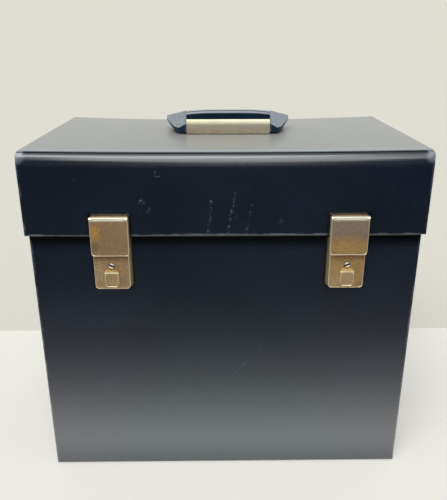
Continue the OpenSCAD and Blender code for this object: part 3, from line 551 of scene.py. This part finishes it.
def fibre_sheet(name, dark, light, roughness):
    """Card or paper: matted fibres and a few flecks."""
    tree = Finish(name)
    at = tree.place()
    mat = tree.noise(at, 420, 5, 0.7)
    cloud = tree.noise(at, 16, 3, 0.5)
    fleck = tree.noise(at, 700, 1, 0.5, stretch=(1, 0.3, 0.6), turn=(0.4, 0.2, 0.7))
    base = tree.mix(tree.step(mat, 0.3, 0.7), dark, light)
    base = tree.mix(tree.step(cloud, 0.3, 0.75, 0.0, 0.3), base, dark)
    base = tree.mix(tree.times(tree.step(fleck, 0.68, 0.74), 0.5), base, tuple(c * 1.7 for c in light))
    return tree.fill(Base_Color=base, Roughness=tree.step(mat, 0.2, 0.8, roughness - 0.06, roughness + 0.06),
                     Normal=tree.bump(mat, 0.08 * MM, 0.35))


def tinted(colour, tone):
    """A colour multiplied by a tint."""
    return tuple(c * k for c, k in zip(colour, tone))


def rim_of(tree, at, rim):
    """Mask of a pressed plate's rim: a band inside a rounded rectangle that lies in X and Z."""
    low, high, corner, width = rim
    over = beyond(tree, at, low, high, corner * MM)
    inner = tree.math("MINIMUM", tree.larger(*over), 0.0)
    depth = tree.minus(tree.plus(outside(tree, over), inner), corner * MM)
    return tree.step(depth, -width * MM, -width * 0.35 * MM)


def latch_brass(name, rim=None, patches=(), shade_z=None, tone=(1, 1, 1), ramp_z=None, roll_z=None, foot_z=None,
                mottle=MOTTLE):
    """Worn brass of the latches and hinges: finely brushed, tarnished brown and gold, its rim painted as a
    highlight.

    The heights are those of a flap's foot and roll, of the shade painted below a flap, and of a button's ledge.
    """
    tree = Finish(name)
    at = tree.place()
    z = tree.parts(at)[2]
    cloud = tree.noise(at, 45, 5, 0.62)
    blotch = tree.noise(at, 130, 4, 0.65)
    gold = tree.noise(at, 38, 3, 0.5, shift=(0.37, 0.1, 0.2))
    brush = tree.noise(at, 1500, 3, 0.6, stretch=(0.05, 1, 1))
    base = tree.mix(tree.step(cloud, 0.32, 0.68), *(tinted(colour, tone) for colour in BRASS_BASE))
    base = tree.mix(tree.times(tree.step(gold, 0.60, 0.72), 0.4), base, BRASS_GOLD)
    for spot, reach, colour, share in patches:
        away = tree.vector("SUBTRACT", at, metres(spot))
        away = tree.vector("LENGTH", tree.vector("DIVIDE", away, metres(reach)))
        ragged = tree.plus(away, tree.times(tree.minus(blotch, 0.5), 2.2))
        base = tree.mix(tree.times(tree.step(ragged, 1.5, 0.2), share), base, colour)
    if shade_z is not None:
        # Painted reddish shade on the lock case below the flap
        band = tree.ramp(z, shade_z, *SHADE_BAND)
        base = tree.mix(tree.times(band, 0.8), base, BRASS_UNDER_FLAP_SHADE)
    pits = tree.noise(at, 620, 4, 0.7)
    pitted = tree.times(tree.step(pits, 0.50, 0.66), tree.step(cloud, 0.35, 0.65, mottle, mottle * 0.5))
    base = tree.mix(pitted, base, BRASS_PIT)
    base = tree.mix(tree.times(tree.step(pits, 0.46, 0.34), mottle * 0.5), base, BRASS_FLECK)
    rough = tree.plus(tree.step(cloud, 0.3, 0.7, 0.42, 0.32), tree.times(brush, 0.08))
    if rim is not None:
        # A highlight is painted along the rim; its bump tilts the rim's normals
        edge = rim_of(tree, at, rim)
        base = tree.mix(tree.times(edge, 0.85), base, BRASS_RIM_HIGHLIGHT)
        rough = tree.minus(rough, tree.times(edge, 0.04))
    if foot_z is not None:
        # Painted highlight: the lower rim is brighter than the rest
        foot = tree.times(edge, tree.ramp(z, foot_z, *FOOT_BAND))
        base = tree.mix(foot, base, BRASS_FOOT_HIGHLIGHT)
    if roll_z is not None:
        # Painted highlight: the rolled hinge edge is paler
        roll = tree.ramp(z, roll_z, *ROLL_BAND)
        base = tree.mix(roll, base, BRASS_ROLL_HIGHLIGHT)
        rough = tree.plus(rough, tree.times(roll, 0.10))
    if ramp_z is not None:
        # Painted highlight on a button's ledge, and painted shade on the thumb's slope above it; both are rougher
        ledge = tree.ramp(z, ramp_z, *LEDGE_BAND)
        base = tree.mix(ledge, base, BRASS_LEDGE_HIGHLIGHT)
        rough = tree.plus(rough, tree.times(ledge, 0.12))
        slope = tree.ramp(z, ramp_z, *SLOPE_BAND)
        base = tree.mix(slope, base, tree.mix(tree.step(blotch, 0.35, 0.65), *BRASS_SLOPE_SHADE))
        rough = tree.plus(rough, tree.times(slope, 0.10))
    height = tree.plus(tree.times(brush, 0.5), tree.times(pits, 0.5))
    face = tree.bump(height, 0.02 * MM, 0.5)
    if rim is not None:
        face = tree.bump(edge, 0.60 * MM, 1.0, face)
    metallic = tree.step(pits, 0.5, 0.75, 0.78, 0.5)
    return tree.fill(Base_Color=base, Metallic=metallic, Roughness=rough, Normal=face)


def plug_metal(name, centre, slot_angle):
    """Bright face of a key plug; its slot and the joint round it are painted dark as shade."""
    tree = Finish(name, Metallic=0.4)
    at = tree.place()
    ring = tree.noise(at, 900, 3, 0.6)
    base = tree.mix(tree.step(ring, 0.3, 0.7), *PLUG_BASE)
    x, y, z = tree.parts(at)
    across = tree.plus(tree.times(tree.minus(x, centre.x), -math.sin(slot_angle)),
                       tree.times(tree.minus(z, centre.z), math.cos(slot_angle)))
    lip = tree.ramp(tree.math("ABSOLUTE", across), 0, *PLUG_SLOT)
    deep = tree.larger(tree.ramp(y, centre.y, *PLUG_DEEP), lip)
    away = tree.vector("DISTANCE", tree.point(x, centre.y, z), tuple(centre))
    joint = tree.ramp(away, 0, *PLUG_JOINT)
    deep = tree.larger(deep, tree.times(joint, 0.85))
    return tree.fill(Base_Color=tree.mix(deep, base, PLUG_PAINTED_SHADE), Roughness=tree.step(ring, 0.2, 0.8, 0.34, 0.46),
                     Normal=tree.bump(ring, 0.02 * MM, 0.4))


def fixing_steel():
    """Plain bright steel of pins, rivets and inner plates."""
    tree = Finish("fixing_steel", Metallic=1.0)
    at = tree.place()
    cloud = tree.noise(at, 90, 4, 0.6)
    brush = tree.noise(at, 1800, 2, 0.5, stretch=(0.06, 1, 1))
    base = tree.mix(tree.step(cloud, 0.35, 0.7), *STEEL_BASE)
    rough = tree.plus(tree.step(cloud, 0.3, 0.7, 0.26, 0.38), tree.times(brush, 0.08))
    return tree.fill(Base_Color=base, Roughness=rough, Normal=tree.bump(brush, 0.015 * MM, 0.4))


def trim_champagne():
    """Satin champagne metal of the handle's plate: a painted highlight on its curved top, dulled and stained
    below.
    """
    tree = Finish("trim_champagne", Metallic=1.0)
    at = tree.place()
    brush = tree.noise(at, 1300, 4, 0.6, stretch=(0.02, 1, 1))
    stain = tree.noise(at, 55, 5, 0.65)
    spots = tree.noise(at, 210, 4, 0.7, stretch=(0.5, 1, 1))
    height = tree.parts(at)[2]
    upper_highlight = tree.ramp(height, TRIM_LOW.z, *TRIM_HIGHLIGHT_BAND)
    base = tree.mix(tree.step(brush, 0.3, 0.7), *TRIM_BASE)
    base = tree.mix(upper_highlight, base, TRIM_TOP_HIGHLIGHT)
    foot = tree.ramp(height, TRIM_LOW.z, *TRIM_LOWER)
    mottle = tree.times(foot, tree.step(spots, 0.45, 0.6))
    base = tree.mix(tree.times(mottle, 0.4), base, TRIM_SPOT)
    base = tree.mix(tree.times(tree.step(stain, 0.5, 0.7), 0.2), base, TRIM_STAIN)
    rough = tree.plus(tree.step(stain, 0.3, 0.7, 0.43, 0.48), tree.times(brush, 0.05))
    return tree.fill(Base_Color=base, Roughness=rough, Normal=tree.bump(brush, 0.015 * MM, 0.5))


def handle_plastic():
    """Moulded dark blue plastic: glossy grip; sloping ends rubbed matt, their tops painted with a pale sheen."""
    tree = Finish("handle_plastic", IOR=1.28, Coat_IOR=1.8, Coat_Roughness=0.10)
    at = tree.place()
    x = tree.parts(at)[0]
    middle = (TRIM_LOW.x + TRIM_HIGH.x) / 2
    ends = tree.ramp(tree.apart(x, middle), 0, *GRIP_END)
    up = tree.parts(tree.add("ShaderNodeTexCoord").outputs["Normal"])[2]
    roof = tree.times(ends, tree.step(up, 0.25, 0.45))
    hair = tree.noise(at, 900, 3, 0.6, stretch=(0.25, 1, 1), turn=(0, 0, 0.5))
    cloud = tree.noise(at, 60, 4, 0.6)
    base = tree.mix(tree.step(cloud, 0.3, 0.7), *PLASTIC_BASE)
    base = tree.mix(tree.times(roof, tree.step(hair, 0.3, 0.75, 0.45, 1.0)), base, PLASTIC_RUBBED_SHEEN)
    rough = tree.plus(tree.step(cloud, 0.3, 0.7, 0.14, 0.20), tree.times(roof, 0.26))
    relief = tree.bump(tree.times(hair, tree.plus(roof, 0.12)), 0.04 * MM, 0.5)
    return tree.fill(Base_Color=base, Coat_Weight=tree.minus(1.0, ends), Roughness=rough, Normal=relief)


# ---- stage, light and camera
def placed(name, data):
    """A new object in the scene."""
    thing = bpy.data.objects.new(name, data)
    SCENE.collection.objects.link(thing)
    return thing


def stage_floor():
    """Wide pale floor; mirrors see it glow as painted light, bright only near the case, as on a table."""
    mesh = bpy.data.meshes.new("studio_floor")
    corners = [(x * FLOOR_REACH, y * FLOOR_REACH, 0) for x, y in ((-1, -1), (1, -1), (1, 1), (-1, 1))]
    mesh.from_pydata(corners, [], [(0, 1, 2, 3)])
    floor = placed("studio_floor", mesh)
    floor.location.z = -FLOOR_DROP * MM
    material = bpy.data.materials.new("pale_floor")
    material.use_nodes = True
    tree = Tree(material.node_tree)
    path = tree.add("ShaderNodeLightPath")
    at = tree.add("ShaderNodeNewGeometry").outputs["Position"]
    x, y = tree.parts(at)[:2]
    table = tree.times(tree.step(y, TABLE_BACK + 0.002, TABLE_BACK), path.outputs["Is Camera Ray"])
    lit = tree.add("ShaderNodeBsdfDiffuse", {"Color": tree.mix(table, WALL_COLOUR, TABLE_COLOUR)})
    ahead = tree.larger(tree.minus(BOX_LOW.y, y), 0.0)
    fade = tree.math("POWER", tree.math("DIVIDE", ahead, SHEEN_REACH), SHEEN_POWER)
    near = tree.plus(tree.math("DIVIDE", 1.0, tree.plus(fade, 1.0)), 0.02)
    # Painted contact shadow: mirrors see the floor darker close to the case
    near = tree.times(near, tree.step(ahead, *SHEEN_CLOSE))
    beside = tree.step(tree.math("ABSOLUTE", x), *SHEEN_SIDE)
    under = tree.step(y, *SHEEN_UNDER)
    level = tree.times(tree.times(near, beside), under)
    middle = tree.step(tree.math("ABSOLUTE", x), *SHEEN_MIDDLE)
    seen = tree.add("ShaderNodeEmission", {"Color": tree.mix(middle, *SHEEN_COLOURS),
                                           "Strength": tree.times(level, SHEEN_LEVEL)})
    both = tree.blend(path.outputs["Is Glossy Ray"], lit.outputs[0], seen.outputs[0])
    tree.add("ShaderNodeOutputMaterial", {"Surface": both})
    mesh.materials.append(material)


def stage_world():
    """Even pale room: the camera sees a plain wall, mirrors see it darker in front and bright behind."""
    world = bpy.data.worlds.new("pale_room")
    SCENE.world = world
    world.use_nodes = True
    tree = Tree(world.node_tree)
    way = tree.add("ShaderNodeTexCoord").outputs["Generated"]
    y, z = tree.parts(way)[1:3]
    behind = tree.step(y, *MIRROR_TURN, MIRROR_FRONT, MIRROR_BACK)
    above = tree.step(z, *MIRROR_HIGH)
    level = tree.plus(tree.times(behind, tree.minus(1.0, above)), tree.times(above, MIRROR_TOP))
    mirror = tree.add("ShaderNodeBackground", {"Color": tree.mix(above, MIRROR_WALL_COLOUR, MIRROR_SKY_COLOUR),
                                               "Strength": level})
    seen = tree.add("ShaderNodeBackground", {"Color": (*WALL_COLOUR, 1), "Strength": 1.0})
    fill = tree.add("ShaderNodeBackground", {"Color": (1.0, 1.0, 1.0, 1), "Strength": ROOM_FILL})
    path = tree.add("ShaderNodeLightPath")
    room = tree.blend(path.outputs["Is Glossy Ray"], fill.outputs[0], mirror.outputs[0])
    room = tree.blend(path.outputs["Is Camera Ray"], room, seen.outputs[0])
    tree.add("ShaderNodeOutputWorld", {"Surface": room})


def soft_sun(name, source, irradiance, angle):
    """A broad lamp infinitely far away, so that the whole floor is lit alike."""
    light = bpy.data.lights.new(name, "SUN")
    light.energy = irradiance
    light.angle = math.radians(angle)
    lamp = placed(name, light)
    lamp.location = Vector(source).normalized() * 3
    lamp.rotation_euler = Vector(source).to_track_quat("Z", "Y").to_euler()


def photo_camera():
    """The camera solved from the corners of the lid and the box in the photograph."""
    data = bpy.data.cameras.new("photo_camera")
    camera = placed("photo_camera", data)
    data.sensor_fit = "AUTO"
    data.sensor_width = 36.0
    long_side = max(PHOTO_SIZE)
    data.lens = CAMERA_FOCUS * data.sensor_width / long_side
    data.shift_x = (PHOTO_SIZE[0] / 2 - CAMERA_CENTRE[0]) / long_side
    data.shift_y = (CAMERA_CENTRE[1] - PHOTO_SIZE[1] / 2) / long_side
    data.clip_start, data.clip_end = 0.01, 300
    pitch, yaw, roll = (math.radians(a) for a in (CAMERA_PITCH, CAMERA_YAW, CAMERA_ROLL))
    forward = Vector((math.sin(yaw) * math.cos(pitch), math.cos(yaw) * math.cos(pitch), -math.sin(pitch)))
    right = Vector((math.cos(yaw), -math.sin(yaw), 0))
    up = right.cross(forward)
    side = math.cos(roll) * right + math.sin(roll) * up
    top = -math.sin(roll) * right + math.cos(roll) * up
    turn = Matrix((side, top, -forward)).transposed().to_4x4()
    camera.matrix_world = Matrix.Translation(Vector(CAMERA_PLACE) * MM) @ turn
    SCENE.camera = camera


def set_stage():
    """View transform, floor, room, lamps and camera."""
    SCENE.view_settings.view_transform = "Standard"
    stage_floor()
    stage_world()
    soft_sun("high_window", **HIGH_SUN)
    soft_sun("low_window", **LOW_SUN)
    photo_camera()


# ---- reshaped copies of CAD nodes
def smooth(share):
    """A smooth step of a share between 0 and 1."""
    share = min(1.0, max(0.0, share))
    return share * share * (3 - 2 * share)


def merged_copy(mesh):
    """A copy of a mesh with its loose triangles joined."""
    work = bmesh.new()
    work.from_mesh(mesh)
    bmesh.ops.remove_doubles(work, verts=work.verts, dist=JOIN_GAP)
    return work


def slice_mesh(work, axis, places):
    """Cuts a mesh along planes across one axis, so that it can bend there."""
    normal = [0.0, 0.0, 0.0]
    normal[axis] = 1.0
    for place in places:
        point = [0.0, 0.0, 0.0]
        point[axis] = place * MM
        parts = list(work.verts) + list(work.edges) + list(work.faces)
        bmesh.ops.bisect_plane(work, geom=parts, plane_co=point, plane_no=normal, dist=CUT_GAP)


def make_piece(name, work, material, body, slot, *nodes, sharp=PLATE_SHARP):
    """Turns a reshaped mesh into a piece that stands for CAD nodes and rides on a body."""
    bmesh.ops.recalc_face_normals(work, faces=work.faces)
    mesh = bpy.data.meshes.new(name)
    work.to_mesh(mesh)
    work.free()
    mesh.materials.append(material)
    mesh.shade_smooth()
    mesh.set_sharp_from_angle(angle=math.radians(sharp))
    piece = placed(name, mesh)
    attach(piece, body)
    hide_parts(*nodes)
    return piece


def even_normals(piece):
    """Weights a piece's normals by the size of its faces, so that flat faces stay flat."""
    modifier = piece.modifiers.new("even_normals", "WEIGHTED_NORMAL")
    modifier.keep_sharp = True
    modifier.weight = 80


def lid_sag(x, y, z):
    """How far the old lid has sunk at a point, in millimetres; nothing under the handle."""
    across = max(0.0, 1 - abs(x / SAG_HALF_WIDTH) ** SAG_POWER)
    back = SAG_BACK * smooth((y - SAG_BACK_Y[0]) / SAG_BACK_Y[1])
    front = SAG_FRONT * smooth((SAG_FRONT_Y[0] - y) / SAG_FRONT_Y[1])
    return across * (back + front) * smooth((z - SAG_Z[0]) / SAG_Z[1])


def lid_lean(y, z):
    """How far the padded front of the lid leans back near its rounded edge, in millimetres."""
    low = LID_HIGH.z / MM - LID_ROLL - LEAN_DROP
    return LEAN[0] * smooth((z - low) / LEAN[1]) * smooth((LEAN_Y[0] - y) / LEAN_Y[1])


def sunken_lid(name, node, material, slot):
    """A copy of a lid piece that follows the sag of the lid and the lean of its front."""
    work = merged_copy(NODES[node].data)
    for axis, places in enumerate(LID_CUTS):
        slice_mesh(work, axis, places)
    for vert in work.verts:
        x, y, z = (c / MM for c in vert.co)
        vert.co.y += lid_lean(y, z) * MM
        vert.co.z -= lid_sag(x, y, z) * MM
    even_normals(make_piece(name, work, material, "lid", slot, node))


def edged_copy(name, node, material, body, slot, width, segments=2, shape=None):
    """A copy of a CAD node whose sharp edges are eased, so that they catch the light."""
    work = merged_copy(NODES[node].data)
    bmesh.ops.dissolve_limit(work, angle_limit=math.radians(1.0), verts=work.verts, edges=work.edges)
    if shape is not None:
        shape(work)
    edges = [e for e in work.edges if len(e.link_faces) == 2 and e.calc_face_angle(0) > math.radians(EASED_ANGLE)]
    bmesh.ops.bevel(work, geom=edges, offset=width * MM, offset_type="OFFSET", segments=segments, profile=0.6,
                    affect="EDGES", clamp_overlap=True)
    even_normals(make_piece(name, work, material, body, slot, node))


def rounder_corners(node, radius):
    """Worn, rounder lower corners for a latch plate whose solid has this corner radius, in millimetres."""
    low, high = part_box(node)

    def shape(work):
        for vert in work.verts:
            side = 1 if vert.co.x > (low.x + high.x) / 2 else -1
            edge = high.x if side > 0 else low.x
            out = radius - abs(vert.co.x - edge) / MM
            down = radius - (vert.co.z - low.z) / MM
            # Points on the straight sides, and those well inside the corner, stay
            if min(out, down) < -0.01 or max(out, down) < 1:
                continue
            angle = math.atan2(down, out)
            vert.co.x -= side * CORNER_WEAR * (1 - math.cos(angle)) * MM
            vert.co.z += CORNER_WEAR * (1 - math.sin(angle)) * MM

    return shape


def crown_arch(work):
    """Raises the grip's crown and lets it fall towards its two ends, so that it arches gently."""
    middle = (TRIM_LOW.x + TRIM_HIGH.x) / 2
    half = (TRIM_HIGH.x - TRIM_LOW.x) / 2
    slice_mesh(work, 0, [middle / MM + half / MM * k / CROWN_CUTS for k in range(1 - CROWN_CUTS, CROWN_CUTS)])
    for vert in work.verts:
        out = abs(vert.co.x - middle) / half
        # The grip's two ends stay
        if out > 1.001:
            continue
        rise = smooth((vert.co.z - TRIM_HIGH.z) / (CROWN_HEIGHT * MM))
        vert.co.z += (CROWN_RISE - CROWN_DROP * out ** 4) * MM * rise


def long_foot(work):
    """Draws the lower edge of the trim plate down to the grip's own lower edge."""
    reach = TRIM_LOW.z + TRIM_FOOT_FROM * MM
    for vert in work.verts:
        if vert.co.z < reach:
            vert.co.z -= TRIM_FOOT * MM * smooth((reach - vert.co.z) / (TRIM_FOOT_LENGTH * MM))


def coil_spring(side, material):
    """A copy of a lock's spring, with a mesh of its own; the real spring is squeezed as the press button goes
    down.
    """
    node = "lock_spring_" + side
    work = merged_copy(NODES[node].data)
    piece = make_piece("coil_spring_" + side, work, material, "case", "fixing_metal", node, sharp=ROUND_SHARP)
    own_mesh(piece)


# ---- rivets by Geometry Nodes
def rivet_tree():
    """Lathes one domed rivet from its sizes and stands a copy on each point of the mesh."""
    tree = bpy.data.node_groups.new("domed_rivets", "GeometryNodeTree")
    face = tree.interface
    face.new_socket("Places", in_out="INPUT", socket_type="NodeSocketGeometry")
    for name, value in RIVET_SIZES.items():
        socket = face.new_socket(name, in_out="INPUT", socket_type="NodeSocketFloat")
        socket.default_value = value * MM
    face.new_socket("Turn", in_out="INPUT", socket_type="NodeSocketVector")
    face.new_socket("Metal", in_out="INPUT", socket_type="NodeSocketMaterial")
    face.new_socket("Rivets", in_out="OUTPUT", socket_type="NodeSocketGeometry")
    g = Tree(tree)
    given = g.add("NodeGroupInput").outputs
    # Domed head: a cone of rings whose heights follow a quarter ellipse
    cone = g.add("GeometryNodeMeshCone", {"Vertices": RIVET_SIDES, "Side Segments": 4, "Fill Segments": 3,
                                          "Radius Bottom": given["Head radius"], "Depth": given["Head height"]})
    g.put(cone.inputs["Radius Top"], g.times(given["Head radius"], 0.4))
    x, y, z = g.parts(g.add("GeometryNodeInputPosition").outputs[0])
    out = g.math("SQRT", g.plus(g.times(x, x), g.times(y, y)))
    share = g.math("DIVIDE", out, given["Head radius"])
    level = g.math("SQRT", g.minus(1.0, g.times(g.times(share, share), 0.96), clamp=True))
    dome = g.add("GeometryNodeSetPosition", {"Geometry": cone.outputs["Mesh"]})
    g.put(dome.inputs["Selection"], g.math("GREATER_THAN", z, 0.01 * MM))
    g.put(dome.inputs["Position"], g.point(x, y, g.times(level, given["Head height"])))
    # Shank and clenched tail below it
    pieces = [dome.outputs[0]]
    half_down = g.times(given["Grip"], -0.5)
    below = g.plus(g.times(given["Grip"], -1.0), g.times(given["Tail height"], 0.5))
    for radius, depth, z in (("Shank radius", "Grip", half_down), ("Head radius", "Tail height", below)):
        part = g.add("GeometryNodeMeshCylinder", {"Vertices": RIVET_SIDES, "Radius": given[radius],
                                                  "Depth": given[depth]})
        moved = g.add("GeometryNodeTransform", {"Geometry": part.outputs["Mesh"], "Translation": g.point(z=z)})
        pieces.append(moved.outputs[0])
    joined = g.add("GeometryNodeJoinGeometry")
    for piece in pieces:
        tree.links.new(piece, joined.inputs[0])
    soft = g.add("GeometryNodeSetShadeSmooth", {"Geometry": joined.outputs[0]})
    points = g.add("GeometryNodeMeshToPoints", {"Mesh": given["Places"]})
    stand = g.add("GeometryNodeInstanceOnPoints", {"Points": points.outputs[0], "Instance": soft.outputs[0],
                                                   "Rotation": given["Turn"]})
    real = g.add("GeometryNodeRealizeInstances", {"Geometry": stand.outputs[0]})
    metal = g.add("GeometryNodeSetMaterial", {"Geometry": real.outputs[0], "Material": given["Metal"]})
    g.add("NodeGroupOutput", {"Rivets": metal.outputs[0]})
    return tree


def islands(node):
    """The low and high corners of each separate solid in a CAD node."""
    work = merged_copy(NODES[node].data)
    left = set(work.verts)
    boxes = []
    while left:
        group, front = set(), [left.pop()]
        while front:
            vert = front.pop()
            group.add(vert)
            for edge in vert.link_edges:
                other = edge.other_vert(vert)
                if other in left:
                    left.remove(other)
                    front.append(other)
        spans = [[vert.co[k] for vert in group] for k in range(3)]
        boxes.append((Vector([min(span) for span in spans]), Vector([max(span) for span in spans])))
    work.free()
    return sorted(boxes, key=lambda box: tuple(round(c, 5) for c in box[0]))


def rivets(name, node, tree, material, body, slot, side):
    """Domed rivets in the places of a CAD node's rivets; side is the way that their heads point."""
    axis = [abs(c) for c in side].index(1)
    places, grip = [], 0.0
    for low, high in islands(node):
        place = (low + high) / 2
        place[axis] = high[axis] - RIVET_HEAD * MM if side[axis] > 0 else low[axis] + RIVET_HEAD * MM
        grip = high[axis] - low[axis] - RIVET_HEAD * MM
        places.append(place)
    mesh = bpy.data.meshes.new(name + "_places")
    mesh.from_pydata(places, [], [])
    holder = placed(name + "_places", mesh)
    modifier = holder.modifiers.new("rivets", "NODES")
    modifier.node_group = tree
    turn = Vector((0, 0, 1)).rotation_difference(Vector(side)).to_euler()
    values = {"Grip": grip, "Turn": tuple(turn), "Metal": material}
    for socket in tree.interface.items_tree:
        if getattr(socket, "in_out", None) == "INPUT" and socket.name in values:
            modifier[socket.identifier] = values[socket.name]
    shaped = bpy.data.meshes.new_from_object(holder.evaluated_get(bpy.context.evaluated_depsgraph_get()))
    bpy.data.objects.remove(holder)
    work = merged_copy(shaped)
    bpy.data.meshes.remove(shaped)
    make_piece(name, work, material, body, slot, node, sharp=ROUND_SHARP)


# ---- dressing
def dress(material, *names):
    """Gives CAD nodes a finish by their material slots."""
    for name in names:
        mesh = NODES[name].data
        if not mesh.materials:
            mesh.materials.append(material)
        for slot in NODES[name].material_slots:
            slot.material = material


def dress_latch(side, brass, back_brass, steel):
    """One key latch: its flap, lock case, press button, key plug and spring, and the plates behind them."""
    low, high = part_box("hasp_flap_" + side)
    flap_foot = low.z
    finish = latch_brass("flap_brass_" + side, (low, high, *FLAP_RIM), FLAP_PATCHES[side],
                         roll_z=high.z - FLAP_ROLL * MM, foot_z=low.z)
    edged_copy("latch_flap_" + side, "hasp_flap_" + side, finish, "flap_" + side, "latch_metal", PLATE_EASE, 3,
               rounder_corners("hasp_flap_" + side, FLAP_CORNER))
    low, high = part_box("lock_case_" + side)
    finish = latch_brass("lock_brass_" + side, (low, high, *LOCK_RIM), LOCK_PATCHES, flap_foot, LOCK_TONE[side],
                         mottle=LOCK_MOTTLE)
    edged_copy("lock_cover_" + side, "lock_case_" + side, finish, "case", "latch_metal", PLATE_EASE, 3,
               rounder_corners("lock_case_" + side, LOCK_CORNER))
    low, high = (corner.copy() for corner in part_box("lock_button_" + side))
    ledge = high.z - BUTTON_RAMP * MM
    high.z = ledge + BUTTON_RIM_TOP * MM
    finish = latch_brass("button_brass_" + side, (low, high, *BUTTON_RIM), tone=BUTTON_TONE,
                         ramp_z=ledge + BUTTON_LEDGE_TOP * MM, mottle=LOCK_MOTTLE)
    dress(back_brass, "lock_back_" + side)
    dress(brass, "hasp_plate_" + side, "hinge_box_leaf_" + side, "hinge_lid_leaf_" + side)
    edged_copy("press_button_" + side, "lock_button_" + side, finish, "button_" + side, "latch_metal",
               BUTTON_EASE)
    low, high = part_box("key_plug_" + side)
    middle = Vector(((low.x + high.x) / 2, low.y, high.z - (high.x - low.x) / 2))
    finish = plug_metal("plug_metal_" + side, middle, PLUG_SLOT_ANGLE[side])
    edged_copy("keyhole_plug_" + side, "key_plug_" + side, finish, "plug_" + side, "latch_metal", PLUG_EASE, 1)
    coil_spring(side, steel)


def main():
    set_stage()
    wood = plywood()
    card = fibre_sheet("liner_card", *CARD_BASE, 0.82)
    paper = fibre_sheet("lid_paper", *PAPER_BASE, 0.85)
    brass = latch_brass("hinge_brass")
    # The lock's back plates are darkened as painted shade
    back_brass = latch_brass("lock_back_brass", tone=BACK_SHADE_TONE)
    steel = fixing_steel()
    locks = [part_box("lock_case_" + side) for side in SIDES]
    flaps = [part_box("hasp_flap_" + side) for side in SIDES]
    box_cloth = leathercloth("box_leathercloth", BOX_LOW, BOX_HIGH, BOX_SCRATCHES, BOX_SCUFFS, locks, LID_LOW.z)
    lid_cloth = leathercloth("lid_leathercloth", LID_LOW, LID_HIGH, LID_SCRATCHES, LID_SCUFFS, flaps)
    dress(box_cloth, "box_covering", "base_sheet")
    dress(wood, *[name for name in NODES if name.endswith("_board")])
    dress(card, "base_pad", "liner_front", "liner_back", "liner_left", "liner_right")
    for name, node, material, slot in (
        ("lid_skin", "lid_covering", lid_cloth, "leathercloth"),
        ("lid_top_panel", "lid_top_board", wood, "board"),
        ("lid_front_panel", "lid_front_board", wood, "board"),
        ("lid_back_panel", "lid_back_board", wood, "board"),
        ("lid_paper_lining", "lid_lining", paper, "lining"),
    ):
        sunken_lid(name, node, material, slot)
    for side in SIDES:
        dress_latch(side, brass, back_brass, steel)
    for start in ("hinge_pin", "handle_bracket", "handle_pin", "hasp_pin", "hasp_catch", "lock_slide"):
        dress(steel, start + "_left", start + "_right")
    dress(steel, "handle_backing_plate")
    plastic, champagne = handle_plastic(), trim_champagne()
    edged_copy("moulded_grip", "handle_grip", plastic, "handle", "handle_plastic", GRIP_EASE, 2, crown_arch)
    edged_copy("grip_trim_plate", "handle_trim", champagne, "handle", "trim_metal", TRIM_EASE, 2, long_foot)
    tree = rivet_tree()
    for name, node, metal, body, slot, side in (
        ("hinge_body_rivets", "hinge_box_rivets", brass, "case", "latch_metal", (0, 1, 0)),
        ("hinge_top_rivets", "hinge_lid_rivets", brass, "lid", "latch_metal", (0, 1, 0)),
        ("hasp_plate_rivets", "hasp_rivets", brass, "lid", "fixing_metal", (0, -1, 0)),
        ("lock_back_rivets", "lock_rivets", steel, "case", "fixing_metal", (0, -1, 0)),
        ("handle_foot_rivets", "handle_rivets", steel, "lid", "fixing_metal", (0, 0, 1)),
    ):
        rivets(name, node, tree, metal, body, slot, side)


main()
